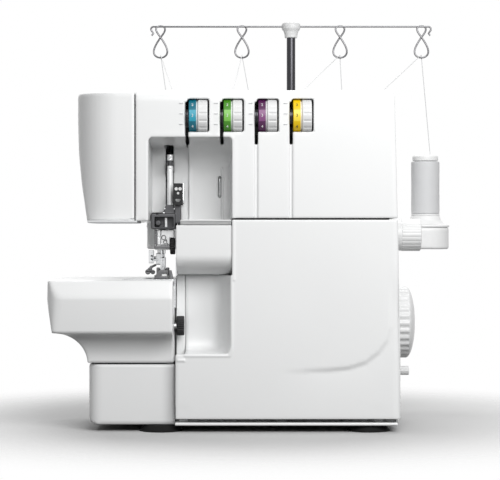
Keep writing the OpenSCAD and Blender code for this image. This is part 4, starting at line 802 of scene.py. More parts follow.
def hinge_brackets():
    a, b, hinge = low("hinge_brackets"), high("hinge_brackets"), middle("hinge_rod")
    shapes = []
    for x in (a.x, b.x - 8):
        shapes.append(rod("x", (hinge.y, hinge.z), 5.2, x, x + 8))
        shapes.append(box((x, hinge.y, hinge.z - 2.6), (x + 8, b.y, hinge.z + 2.6), 0.5))
        shapes.append(box((x, b.y - 3, a.z), (x + 8, b.y, hinge.z), 0.4))
    moulded("hinge_brackets", union(shapes), a, b, 0.5, WHITE, slot="shell_grey")


def rubber_feet():
    """Feet that spread towards the table, each with a small rounded lip."""
    a, b = span("rubber_feet")
    r, top = 20.0, 15.0
    profile = [(0, 0), (r - 0.6, 0), (r - 0.4, 0.9), (top + 1.2, b.z - 1.6), (top, b.z), (0, b.z)]
    profile = rounded_profile(profile, 0.7)
    places = [(x, y) for y in (a.y + r, b.y - r) for x in (a.x + r, b.x - r)]
    for k, (x, y) in enumerate(places):
        lathe(f"rubber_foot_{k}", profile, "z", (x, y, 0), RUBBER, stands_for=["rubber_feet"])


# ---- numbers on the dials ----


def digit(text, size, depth=0.12):
    """The outline of a plain number as points in millimetres and faces, centred on its middle."""
    curve = bpy.data.curves.new("digit", "FONT")
    curve.body = text
    curve.size = size
    curve.extrude = depth
    curve.resolution_u = 4
    obj = bpy.data.objects.new("digit", curve)
    bpy.context.scene.collection.objects.link(obj)
    bpy.context.view_layer.update()
    mesh = obj.to_mesh()
    points = np.array([v.co for v in mesh.vertices])
    faces = [tuple(p.vertices) for p in mesh.polygons]
    obj.to_mesh_clear()
    bpy.data.objects.remove(obj)
    bpy.data.curves.remove(curve)
    points[:, :2] -= (points[:, :2].min(0) + points[:, :2].max(0)) / 2
    return points, faces


def numbers(name, marks, size, x, centre, radius, material, body, lift=0.12):
    """Numbers round a cylinder that lies along X. Each mark is (text, angle above the front)."""
    points, faces = [], []
    for text, angle in marks:
        flat, polygons = digit(text, size)
        first = len(points)
        for u, v, w in flat:
            turn = math.radians(angle) + v / radius
            r = radius + lift + w
            points.append((x + u, centre.y - r * math.cos(turn), centre.z + r * math.sin(turn)))
        faces += [tuple(first + i for i in f) for f in polygons]
    return finish_mesh(name, mesh_from(name, points, faces, 40), material, body)


RING_W = 6.6
DIAL_STEP = 36.0


def tension_dials():
    """Each dial: a coloured number ring with one paler field, and a white grooved drum beside it."""
    tones = {
        "teal": ((0.003, 0.135, 0.20), (0.03, 0.33, 0.45), WHITE_MARK),
        "green": ((0.055, 0.24, 0.012), (0.19, 0.50, 0.08), WHITE_MARK),
        "purple": ((0.075, 0.010, 0.068), (0.22, 0.07, 0.20), WHITE_MARK),
        "yellow": ((0.80, 0.54, 0.003), (0.92, 0.72, 0.06), DARK_MARK),
    }
    bore, pieces = 2.6, 12
    ring = disc(DIAL_R, RING_W, 0.5, bore)
    shoulder = disc(DIAL_R - 1.6, 1.6, 0.3, bore)
    centre = middle("tension_dial_1")
    drum = grip_drum(low("tension_dial_1").x + RING_W + 1.2, high("tension_dial_1").x, centre)
    for i, (tone, (dark, pale, ink)) in enumerate(tones.items()):
        node, body, slot = f"tension_dial_{i + 1}", f"dial_{i + 1}", f"dial_{tone}"
        x, centre = low(node).x, middle(node)
        y, z = centre[1:]
        lathe(f"{node}_ring", ring, "x", (x, y, z), plastic(f"dial {tone}", dark), body, [node], slot, 96)
        points, faces = [], []
        for k in range(pieces + 1):
            turn = math.radians(DIAL_STEP * (k / pieces - 0.5))
            for along, r in ((0.55, -0.3), (0.55, 0.06), (RING_W - 0.1, 0.06), (RING_W - 0.1, -0.3)):
                r += DIAL_R
                points.append((x + along, y - r * math.cos(turn), z + r * math.sin(turn)))
        for k in range(0, 4 * pieces, 4):
            faces += [(k + c, k + (c + 1) % 4, k + 4 + (c + 1) % 4, k + 4 + c) for c in range(4)]
        faces += [(3, 2, 1, 0), tuple(4 * pieces + c for c in range(4))]
        field = mesh_from(f"{node}_field", points, faces, 40)
        finish_mesh(f"{node}_field", field, plastic(f"dial {tone} light", pale), body)
        marks = [(str(k), (3 - k) * DIAL_STEP) for k in range(10)]
        numbers(f"{node}_numbers", marks, 3.9, x + RING_W / 2, centre, DIAL_R, ink, body)
        mesh = drum.copy()
        mesh.name = f"{node}_drum"
        for v in mesh.vertices:
            v.co += Vector((i * DIAL_PITCH * MM, 0, 0))
        finish_mesh(mesh.name, mesh, SHADED_KNOB_WHITE, body)
        lathe(f"{node}_shoulder", shoulder, "x", (x + RING_W - 0.1, y, z), INNER, body, slot=slot)


def grip_drum(x0, x1, centre, count=15):
    """A drum with rounded grooves along its rim and one deeper end groove."""

    def distance(x, y, z):
        r = np.hypot(y - centre.y, z - centre.z)
        turn = np.arctan2(z - centre.z, y - centre.y) + 0.12
        pitch = 2 * math.pi / count
        side = (np.mod(turn, pitch) - pitch / 2) * DIAL_R
        groove = np.hypot(side, r - DIAL_R - 0.45) - 0.95
        body = round_pair(r - DIAL_R, slab(x, x0, x1), 1.1)
        grooved = -soft_min(-body, np.maximum(groove, x0 + 1.6 - x), 0.5)
        return np.maximum(grooved, 2.6 - r)

    reach = Vector((0, DIAL_R, DIAL_R))
    corners = (x0, *(centre - reach)[1:]), (x1, *(centre + reach)[1:])
    return mesh_form("drum", Form(distance), *corners, 0.4, 0.01)


def dial_ticks():
    """Three short printed ticks on the cover, left of each dial."""
    points, faces = [], []
    for i in range(4):
        for rise in (-9.5, 0, 9.5):
            x, z = slot_x(i) - 5.2, DIAL.z + rise + 1.6
            width, tall = 3.4, 0.6
            first = len(points)
            for y in (FRONT - 0.12, FRONT + 0.5):
                points += [(x, y, z), (x + width, y, z), (x + width, y, z + tall), (x, y, z + tall)]
            for quad in ((0, 1, 2, 3), (7, 6, 5, 4), (0, 4, 5, 1), (1, 5, 6, 2), (2, 6, 7, 3), (3, 7, 4, 0)):
                faces.append(tuple(first + k for k in quad))
    mesh = mesh_from("dial_ticks", points, faces, welded=False)
    finish_mesh("dial_ticks", mesh, GREY_PRINT_AND_SHADE)


# ---- controls on the right side ----


def knurled(name, axis, place, d, w0, w1, material, body="root", stands_for=None, slot=None, count=24,
            deep=0.6, r=1.2, step=0.4):
    """A round grip with grooves along it."""

    def distance(x, y, z):
        u, v, w = across(axis, x, y, z)
        out = np.hypot(u - place[0], v - place[1])
        turn = np.arctan2(v - place[1], u - place[0])
        ripple = deep * (0.5 - 0.5 * np.cos(turn * count)) ** 3
        return round_pair(out - d / 2 + ripple * np.clip((out - d / 4) / (d / 4), 0, 1), slab(w, w0, w1), r)

    k, corners = "xyz".index(axis), []
    for along, side in ((w0, -d / 2), (w1, d / 2)):
        corner = [p + side for p in place]
        corner.insert(k, along)
        corners.append(corner)
    return moulded(name, Form(distance), *corners, step, material, body, stands_for, slot)


def handwheel():
    (a, b), c = span("handwheel"), middle("handwheel")
    r = (b.z - a.z) / 2

    def distance(x, y, z):
        out = np.hypot(y - c.y, z - c.z)
        turn = np.arctan2(z - c.z, y - c.y)
        dome = np.hypot(out / r, np.maximum(x - (b.x - 9), 0) / 9) * 9 - 9
        rim = round_pair(out - r, slab(x, a.x, b.x + 9), 2.2)
        scallop = 0.4 * (0.5 - 0.5 * np.cos(turn * 30)) * np.clip((out - r + 8) / 8, 0, 1)
        scallop = scallop * np.clip((x - a.x - 2.5) / 1.5, 0, 1) * np.clip((b.x - 7 - x) / 1.5, 0, 1)
        body = np.maximum(np.maximum(dome, rim) + scallop, x - b.x)
        waist = np.hypot(out - r, x - a.x - 1.6) - 0.8
        dish = np.hypot(out / 15, (x - b.x - 1.2) / 2.6) * 2.6 - 2.6
        hollow = np.maximum(np.maximum(out - r + 5, 11 - out), x - a.x - 8)
        bore = np.maximum(out - 5.02, x - b.x + 6)
        for tool in (waist, dish, hollow, bore):
            body = -soft_min(-body, tool, 0.8)
        return body

    moulded("handwheel", Form(distance), a, b, 0.7, SHADED_KNOB_WHITE, "handwheel", flat=0.01)


def side_controls():
    def shaft(node, r, end):
        start, c = low(node).x, middle(node)
        lathe(f"{node}_shaft", disc(r, end - start), "x", (start, c.y, c.z), BRUSHED, node, steps=24)

    stitch, (a, b) = middle("stitch_dial"), span("stitch_dial")
    r = (b.z - a.z) / 2
    face = right_face(stitch.z) + 1
    knurled("stitch_dial", "x", stitch[1:], 2 * r, face + 9, b.x, SHADED_KNOB_WHITE, "stitch_dial", deep=0.35)
    skirt = disc(r - 0.3, 9.6, 0.6)
    lathe("stitch_dial_skirt", skirt, "x", (face, *stitch[1:]), SHADED_KNOB_WHITE, "stitch_dial", steps=96)
    shaft("stitch_dial", 2.5, face + 1)
    marks = [(str(4 - k), 50 - 38 * k) for k in range(4)]
    numbers("stitch_dial_numbers", marks, 4.6, face + 4, stitch, r - 0.3, DARK_MARK, "stitch_dial")
    feed, (a, b) = middle("feed_knob"), span("feed_knob")
    r = (b.z - a.z) / 2
    face = right_face(feed.z) + 1
    knurled("feed_knob", "x", feed[1:], 2 * r, face + 4.5, b.x, SHADED_KNOB_WHITE, "feed_knob", count=14,
            deep=0.35, r=0.8, step=0.3)
    collar = disc(r - 0.8, 5, 0.4)
    lathe("feed_knob_collar", collar, "x", (face, *feed[1:]), SHADED_KNOB_WHITE, "feed_knob", steps=48)
    shaft("feed_knob", 2, face + 1)
    knob, (a, b) = middle("width_knob"), span("width_knob")
    knurled("width_knob", "x", knob[1:], b.z - a.z, b.x - 7, b.x, BLACK, "width_knob", count=30,
            deep=0.7, r=0.9, step=0.3)
    shaft("width_knob", 2.5, b.x - 6)


def power_parts():
    a, b = span("power_inlet")
    c = middle("power_inlet")
    z0, z1 = a.z, a.z + 22
    flange = box((b.x - 1.4, a.y, z0), (b.x, b.y, z1), 0.6)
    case = box((a.x, a.y + 2.3, z0 + 2.3), (b.x - 0.8, b.y - 2.3, z1 - 2.3), 0.6)
    socket = box((a.x + 3, c.y - 9.5, z0 + 4.5), (b.x + 4, c.y + 9.5, z0 + 17.5), 1.5)
    frame_low = (a.x + 9, a.y + 6.2, z1 - 2.5)
    frame_form = box(frame_low, (a.x + 10.2, b.y - 6.2, b.z), 0.3)
    form = flange.join(case).cut(socket, 0.4).join(frame_form)
    moulded("power_inlet", form, a, b, 0.5, BLACK)
    for k, (dy, dz) in enumerate([(-5, 1.5), (5, 1.5), (0, -2.5)]):
        x, y, z = a.x + 2.6, c.y + dy, z0 + 11 + dz
        corners = (x, y - 1, z - 2), (x + 10.5, y + 1, z + 2)
        moulded(f"power_inlet_pin_{k}", box(*corners, 0.6), *corners, 0.3, BRUSHED)
    (a, b), c = span("power_switch"), middle("power_switch")
    rocker = [(b.x, b.z), (b.x - 1.2, c.z), (b.x - 1.4, a.z), (a.x, a.z + 1.2), (a.x, b.z - 1.2)]
    form = prism("y", rocker, a.y, b.y, 0.5)
    moulded("power_switch", form, a, b, 0.35, BLACK, "power_switch")


def cover_screws():
    """Pan-head screws with a cross recess on the rear."""
    face = high("cover_screws").y
    for k, (x, z) in enumerate([(-105, 280), (-84, 205), (105, 280), (110, 20), (-60, 20)]):
        form = rod("y", (x, z), 6.4, face - 2, face, 0.7).join(rod("y", (x, z), 2.8, face - 11, face - 1.5))
        for w, t in ((1.9, 0.45), (0.45, 1.9)):
            form = form.cut(box((x - w, face - 1.3, z - t), (x + w, face + 2, z + t), 0.1), 0.1)
        corners = (x - 3.2, face - 11, z - 3.2), (x + 3.2, face, z + 3.2)
        moulded(f"cover_screw_{k}", form, *corners, 0.28, BRUSHED, stands_for=["cover_screws"])


# ---- needle, presser and sewing parts ----


def needle_drive():
    a, b = span("needle_bar")
    x, y = NEEDLE.x, NEEDLE.y
    d = 5.6
    neck = (b.z - 10.4, b.z - 5.6)
    core = rod("z", (x, y), 3.4, neck[0] - 4, neck[1] + 4, 0.1)
    bar = rod("z", (x, y), d, a.z, b.z, 0.4).cut(rod("z", (x, y), 9, *neck, 0.1).cut(core), 0.3)
    for z in (neck[1] + 2.5, neck[0] - 3.1):
        bar = bar.cut(rod("y", (x, z), 1.7, y - 6, y - 1, 0.2), 0.2)
    # painted shade: a dark ring fills the bar's narrow neck, standing in for the shade seen through it
    ring = disc(2.5, neck[1] - neck[0], 0.3, 1.6)
    lathe("needle_bar_neck", ring, "z", (x, y, neck[0]), DARK_CAST_AND_SHADE, "needle_drive", steps=32)
    moulded("needle_bar", bar, a, b, 0.35, BRIGHT, "needle_drive")
    a, b = span("needle_clamp")
    foot = low("needle_bar").z
    body = box((x - 11.4, y - 6, a.z + 4.5), (x + 4, y + 6, b.z), 1.1)
    body = body.join(box((x - 13.8, y - 4, a.z), (x - 0.2, y + 4, a.z + 4.6), 0.7), 0.5)
    body = body.cut(rod("z", (x, y), d, foot, b.z + 9), 0.3)
    body = body.cut(box((x - 0.1, y - 9, a.z - 2), (x + 9, y + 9, foot - 0.3), 0.4), 0.3)
    body = body.cut(box((x - 8.6, y - 9, a.z + 5.5), (x - 7.9, y - 2, b.z + 2), 0.1), 0.2)
    body = body.cut(rod("y", (x - 10, a.z + 12), 2.0, y - 9, y - 4.5, 0.3), 0.3)
    moulded("needle_clamp", body, a, b, 0.32, BRIGHT, "needle_drive")
    strap_a, strap_b = (x - 14.4, y - 5, a.z + 1), (x - 11.6, y - 3.4, a.z + 18.6)
    strap = box(strap_a, strap_b, 0.5)
    for rise in (5, 14.5):
        strap = strap.cut(rod("y", (x - 13, a.z + rise), 1.5, y - 9, y, 0), 0.2)
    moulded("clamp_strap", strap, strap_a, strap_b, 0.25, DARK_STEEL, "needle_drive")
    bar_a, bar_b = (x - 13.4, y - 7.6, a.z + 1.2), (x + 0.4, y - 6, a.z + 3.8)
    moulded("clamp_guide_bar", box(bar_a, bar_b, 0.5), bar_a, bar_b, 0.25, DARK_STEEL, "needle_drive")
    # wire thread guides on the clamp's face
    face = y - 6.2
    loops = []
    bends = (x - 5.6, a.z + 11.6, 1.9, (x - 2.5, a.z + 8.2)), (x - 4.3, a.z + 7.4, 1.5, (x - 1.5, a.z + 5.2))
    for cx, cz, r, end in bends:
        turns = np.linspace(-0.6, 5.3, 26)
        ring = [(cx + r * math.cos(t), face - 0.5 - 0.25 * t / 6, cz + r * math.sin(t)) for t in turns]
        loops.append([(end[0], face + 0.9, end[1]), (end[0], face - 0.3, end[1])] + ring)
    tube("needle_thread_guides", loops, 0.7, DARK_STEEL, "needle_drive", sides=8)
    (tip, screw), s = span("needle_screw"), middle("needle_screw")
    knurled("needle_screw", "x", (y, s.z), screw.z - tip.z, x + 0.1, screw.x - 0.5, BLACK, "needle_drive",
            count=26, deep=0.5, r=0.8, step=0.3)
    lathe("needle_screw_tip", disc(1.5, 3.8), "x", (tip.x, y, s.z), BRUSHED, "needle_drive", steps=24)
    cap = rounded_profile([(0, 0), (3.2, 0), (3.2, 0.5), (0, 0.9)], 0.2)
    lathe("needle_screw_cap", cap, "x", (screw.x - 0.95, y, s.z), BRUSHED, "needle_drive", steps=32)
    a = low("needles")
    tip = a.z
    shank_bottom = low("needle_clamp").z - 3
    profile = [(0, 0), (0.22, 2.0), (0.42, 5), (0.42, shank_bottom - tip - 1), (0.85, shank_bottom - tip),
               (0.85, high("needles").z - tip), (0, high("needles").z - tip)]
    for k, nx in enumerate((low("needles").x + 0.85, high("needles").x - 0.85)):
        lathe(f"needle_{k}", profile, "z", (nx, y, tip), CHROME, "needle_drive", ["needles"], steps=20)


def guide_casting():
    a, b = span("needle_bar_guide")
    x, y = NEEDLE.x, NEEDLE.y
    top = 198.0
    presser = middle("presser_bar")
    body = box((a.x, y - 12, a.z), (x + 5.2, presser.y + 9, top), 1.0)
    body = body.join(box((x + 4.5, y - 9, a.z + 5), (b.x, y + 4, b.z), 0.8), 0.8)
    body = body.join(box((a.x + 0.4, presser.y + 8, a.z), (presser.x + 5, SEAM - 1, 199.2), 0.8), 1.5)
    flare = [(x - 3.4, top + 8), (x + 3.4, top + 8), (x + 5.2, top - 1), (x - 7.2, top - 1)]
    body = body.join(prism("y", flare, y - 7.5, y + 6, 0.6), 0.8)
    body = body.cut(box((x - 13.7, y - 20, a.z + 1.6), (x + 3.6, y - 3.6, top - 3.4), 1.0), 0.4)
    body = body.join(rod("y", (x - 10.6, a.z + 5.6), 5.2, y - 9.5, y - 2, 0.8), 0.3)
    body = body.cut(box((x - 12.6, y - 13, top - 1.2), (x - 10.6, y + 8, top + 5), 0.3), 0.2)
    body = body.cut(rod("z", (x, y), 5.7, a.z - 3, top + 15, 0), 0.3)
    body = body.cut(rod("z", (presser.x, presser.y), 6.1, a.z - 3, top + 3, 0), 0.3)
    moulded("needle_bar_guide", body, a, b, 0.45, DARK_CAST_AND_SHADE)
    screws = [(x - 4.6, top + 4.4), (x + 4.4, top + 4.4), (x - 5.6, top + 0.6), (x + 5.0, top + 0.6)]
    for k, (sx, sz) in enumerate(screws):
        profile = rounded_profile([(0, 0), (0.7, 0), (0.9, 1.2), (0, 1.2)], 0.2)
        lathe(f"guide_screw_{k}", profile, "y", (sx, y - 8.2, sz), CHROME, steps=20)
    rod_profile = disc(1.35, 8.4)
    lathe("guide_window_rod", rod_profile, "z", (x - 3.5, y - 6.6, a.z + 1.8), BRIGHT, steps=24)


def thread_guide_plate():
    a, b = span("thread_guide_plate")
    plate = box(a, (b.x, a.y + 2, b.z), 0.5)
    leg = box((b.x - 2, a.y + 1, a.z + 2), (b.x, b.y, b.z - 2), 0.4)
    form = plate.join(leg, 0.4)
    for dx, dz, d in ((2.7, 15, 2.2), (6.2, 15, 2.2)):
        form = form.cut(rod("y", (a.x + dx, a.z + dz), d, a.y - 3, a.y + 5, 0), 0.3)
    half_moon = rod("y", (a.x + 4.4, a.z + 5.6), 5, a.y - 3, a.y + 5, 0).meet(
        box((a.x - 1, a.y - 3, a.z - 1), (b.x, a.y + 5, a.z + 5.8), 0), 0.3)
    form = form.cut(half_moon, 0.3)
    moulded("thread_guide_plate", form, a, b, 0.22, BLACK)
    for k, (dx, dz, d) in enumerate([(2.7, 15, 3.0), (6.2, 15, 3.0), (4.4, 11, 2.2)]):
        inner, outer = d / 2 - 0.75, d / 2
        eyelet = rounded_profile([(inner, -0.25), (outer, -0.25), (outer, 2.25), (inner, 2.25)], 0.2)
        place = a.x + dx, a.y, a.z + dz
        lathe(f"guide_eyelet_{k}", eyelet, "y", place, WHITE_MARK, slot="steel_bright", steps=28)
    rim = [(a.x + 0.4, a.y + 1, b.z - 0.2), (b.x + 0.3, a.y + 1, b.z - 0.2), (b.x + 0.3, a.y + 1, a.z + 2)]
    tube("guide_plate_rim", [rim], 1.1, CHROME, sides=8)


def take_up_eye():
    """Small wire eye in the scooped wall, beside the second thread groove."""
    x, y = slot_x(1) - 1.1, POCKET_BACK - 3.4
    path = [(x, y + 1.5, 214.2), (x, y - 1.2, 215.4)]
    path += [(x + 0.25 * math.sin(t * math.pi), y - 1.6, 216 + 14 * t) for t in np.linspace(0, 1, 9)]
    path += [(x, y - 1.2, 230.8), (x, y + 1.5, 232)]
    tube("take_up_eye", [path], 1.0, CHROME, sides=10)


def presser_parts():
    a, b = span("presser_bar")
    c = middle("presser_bar")
    collar = rod("z", (c.x, c.y), 11, 212.5, 216.0, 0.5)
    bar = rod("z", (c.x, c.y), 6, a.z, b.z, 0.5).join(collar, 0.3)
    moulded("presser_bar", bar, a, b, 0.4, BRIGHT, "presser")
    a, b = span("presser_spring")
    turns, mean = 9, 4.6
    count = turns * 24
    path = []
    for k in range(count + 1):
        t = k / count
        z = a.z + 0.8 + (b.z - a.z - 1.6) * t
        angle = 2 * math.pi * turns * t
        path.append((c.x + mean * math.cos(angle), c.y + mean * math.sin(angle), z))
    spring = tube("presser_spring", [path], 1.4, BRUSHED, sides=8)
    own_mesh(spring)
    holder_a, holder_b = span("presser_foot_holder")
    pivot = Vector((0, *FOOT_PIVOT))
    foot_a, foot_b = span("presser_foot")
    body = box((c.x - 4, c.y - 6, pivot.z + 5), (c.x + 4, c.y + 5, pivot.z + 16), 0.9)
    fork = box((foot_a.x + 3.6, pivot.y - 4, pivot.z - 3), (holder_b.x, c.y, pivot.z + 12), 0.7)
    body = body.join(fork, 0.6)
    body = body.cut(rod("x", (pivot.y, pivot.z), 2.5, foot_a.x - 2, foot_b.x + 2, 0), 0.2)
    body = body.cut(rod("z", (c.x, c.y), 6, pivot.z + 6, pivot.z + 60, 0), 0.2)
    moulded("presser_foot_holder", body, holder_a, holder_b, 0.35, BRUSHED, "presser")
    thumb = Vector((c.x - 9.6, c.y - 1, pivot.z + 11.5))
    knurled("presser_screw", "x", (thumb.y, thumb.z), 7, thumb.x, thumb.x + 3.2, BRUSHED, "presser",
            count=20, deep=0.3, r=0.4, step=0.25)
    shank_at = thumb.x + 2.8, thumb.y, thumb.z
    lathe("presser_screw_shank", disc(1.4, 4), "x", shank_at, BRUSHED, "presser", steps=20)


def presser_foot():
    a, b = span("presser_foot")
    pivot_y, pivot_z = FOOT_PIVOT
    sole, top = a.z, 146.2
    width = 17.3
    edge = high("presser_foot_holder").x + 3.6
    side = [(a.y + 2, sole), (pivot_y, sole), (pivot_y + 6, sole + 1.6), (pivot_y + 6, sole + 2.8),
            (pivot_y - 6, sole + 2.2), (a.y + 2, sole + 3.4)]
    form = prism("x", side, a.x, edge, 0.3)
    toe = [(a.x + width, sole), (a.x + width - 1.9, top), (a.x + 3.4, top), (a.x, sole)]
    form = form.join(prism("y", toe, a.y, a.y + 9, 0.6), 0.8)
    for x in (a.x, edge - 3):
        form = form.join(box((x, pivot_y - 4, sole + 1), (x + 3, pivot_y + 4, pivot_z + 2.6), 0.6), 0.6)
    form = form.join(rod("x", (pivot_y, pivot_z), 2.4, a.x, edge))
    c, d = span("needles")
    form = form.cut(box((c.x - 1.2, NEEDLE.y - 6, sole - 3), (d.x + 1.2, NEEDLE.y + 5, top + 9), 0.5), 0.2)
    form = form.cut(box((a.x + 6.4, a.y - 3, sole + 2.4), (a.x + 12, a.y + 6, sole + 4.8), 0.3), 0.2)
    form = form.cut(box((a.x + 12.6, a.y - 3, sole - 1), (a.x + 13.4, a.y + 12, top + 2), 0.1), 0.1)
    moulded("presser_foot", form, a, b, 0.3, DARK_STEEL, "presser_foot", slot="steel_brushed")
    corners = (a.x + 6.6, a.y + 1.2, sole + 2.3), (a.x + 11.8, a.y + 5, sole + 4.9)
    moulded("presser_foot_insert", box(*corners, 0.3), *corners, 0.3, WHITE_MARK, "presser_foot",
            slot="steel_brushed")


def left_brackets():
    """Small spreader plate and hook left of the foot, carried by the presser bar."""
    c = middle("presser_bar")
    z = 152.0
    plate = box((c.x - 10.6, c.y - 8, z), (c.x - 5.6, c.y - 6.6, z + 12), 0.5)
    plate = plate.join(box((c.x - 8, c.y - 7.4, z + 2), (c.x - 2, c.y - 5.4, z + 4), 0.4), 0.3)
    for dz in (3.6, 6.6):
        plate = plate.cut(rod("y", (c.x - 7.4, z + dz), 2.0, c.y - 12, c.y - 4, 0), 0.2)
    corners = (c.x - 10.6, c.y - 8, z), (c.x - 2, c.y - 5.4, z + 12)
    moulded("spreader_plate", plate, *corners, 0.25, BRUSHED, "presser")
    hook = [(c.x - 4, c.y - 5, z - 1.5), (c.x - 9, c.y - 7, z - 4), (c.x - 12.5, c.y - 8, z - 8),
            (c.x - 10.4, c.y - 9.5, z - 9.6), (c.x - 8, c.y - 9.5, z - 6), (c.x - 8.4, c.y - 9, z - 2.4)]
    tube("spreader_hook", [smooth(hook)], 2.1, DARK_STEEL, "presser", slot="steel_brushed", sides=10)
    for k, (dx, dz, d) in enumerate(((-11.2, -8.0, 5.0), (-6.6, -8.2, 4.2))):
        x, y, sz = c.x + dx, c.y - 10.5, z + dz
        nut = rod("y", (x, sz), d, y, c.y - 7, 0.4)
        nut = nut.cut(box((x - 3, c.y - 12, sz - 0.35), (x + 3, c.y - 10, sz + 0.35), 0.05), 0.1)
        corners = (x - d / 2, y, sz - d / 2), (x + d / 2, c.y - 7, sz + d / 2)
        moulded(f"spreader_screw_{k}", nut, *corners, 0.25, DARK_STEEL, "presser", slot="steel_brushed")


def smooth(points, rounds=3):
    """Corner cutting, which turns a coarse path into a rounded one."""
    p = [np.array(q, float) for q in points]
    for _ in range(rounds):
        cut = [p[0]]
        for a, b in zip(p, p[1:]):
            cut += [a * 0.75 + b * 0.25, a * 0.25 + b * 0.75]
        p = cut + [p[-1]]
    return p


def needle_plate():
    a, b = span("needle_plate")
    form = box(a, b, 0.35)
    y, x0, x1 = NEEDLE.y, low("needles").x, high("needles").x
    for x in (low("feed_dog").x, high("feed_dog").x - 4):
        form = form.cut(box((x - 0.5, -101, a.z - 3), (x + 4.5, -59, b.z + 3), 0.3), 0.25)
    form = form.cut(box((x0 - 1.3, y - 2, a.z - 3), (x1 + 0.6, y + 2, b.z + 3), 0.5), 0.25)
    form = form.cut(box((b.x - 2, y - 14, a.z - 3), (b.x + 3, y - 3, b.z + 3), 0.2), 0.2)
    for sx, sy in ((a.x + 7, a.y + 6), (a.x + 7, b.y - 6)):
        form = form.cut(rod("z", (sx, sy), 6.4, b.z - 1.2, b.z + 3, 0.1), 0.2)
        head = rod("z", (sx, sy), 5.8, b.z - 1.3, b.z - 0.1, 0.3)
        head = head.cut(box((sx - 2.2, sy - 0.4, b.z - 0.7), (sx + 2.2, sy + 0.4, b.z + 2), 0.1), 0.1)
        corners = (sx - 3, sy - 3, b.z - 1.3), (sx + 3, sy + 3, b.z)
        moulded(f"plate_screw_{int(sy - a.y)}", head, *corners, 0.28, CHROME)
    moulded("needle_plate", form, a, b, 0.5, BRUSHED, slot="steel_bright")


# ---- lamp, stand, spools and antenna ----


def sewing_lamp():
    a, b = span("lamp")
    c = middle("lamp")
    lens = box((a.x + 3, a.y + 3, a.z), (b.x - 3, b.y - 3, b.z), 1.2)
    lens = lens.join(box((a.x, a.y, b.z - 4), (b.x, b.y, b.z), 0.6), 0.3)
    ribs = [rod("y", (x, a.z - 0.5), 1.6, a.y - 3, b.y + 3, 0) for x in np.arange(a.x + 6, b.x - 5, 3.0)]
    moulded("lamp", lens.cut(union(ribs), 0.4), a, b, 0.5, LENS)
    corners = (c.x - 21, a.y - 26, a.z - 2.2), (c.x + 23.5, b.y + 6, a.z)
    outer = box(*corners, 0.8)
    inner = box((c.x - 16, a.y + 2, a.z - 6), (c.x + 16, b.y - 2, a.z + 4), 1)
    # the bezel strip under the head is grey as painted shade
    moulded("lamp_bezel", outer.cut(inner, 0.5), *corners, 0.5, GREY_PRINT_AND_SHADE)


def spool_stand():
    a, b = span("spool_stand")
    r = 24.0
    y = b.y - r
    plan = arc(b.x - r, y, r, -90, 90, 20) + arc(a.x + r, y, r, 90, 270, 20)
    form = prism("z", plan, a.z, b.z, 2.2)
    pole = middle("antenna_lower_tube")
    form = form.join(box((pole.x - 30, REAR, a.z), (pole.x + 30, y, b.z), 1.5), 6)
    form = form.meet(box((a.x, REAR, a.z), (b.x, b.y, b.z), 0.4))
    under = prism("z", [(p[0] * 0.985 + 0.5, p[1]) for p in plan], a.z - 9, a.z + 18, 0).grow(-3.4)
    form = form.cut(under.cut(box((pole.x - 12, y - 12, 0), (pole.x + 12, y + 12, 400), 2)).cut(
        union([rod("z", (x, y), 12, 0, 400) for x in spool_places()])), 1)
    form = form.cut(rod("z", (pole.x, y), 12.05, a.z + 4, b.z + 9, 0), 0.3)
    form = form.cut(union([rod("z", (x, y), 5.05, a.z + 4, b.z + 9, 0) for x in spool_places()]), 0.2)
    moulded("spool_stand", form, a, b, 1.2, SEAT_WHITE)
    socket = rounded_profile([(6.05, 0), (9.5, 0), (8.2, 7), (6.05, 7)], 0.8)
    lathe("antenna_socket", socket, "z", (pole.x, y, b.z - 0.2), SEAT_WHITE)


def spool_places():
    a, b = span("spool_pins")
    first, last = a.x + 2.5, b.x - 2.5
    return [first + (last - first) * i / 3 for i in range(4)]


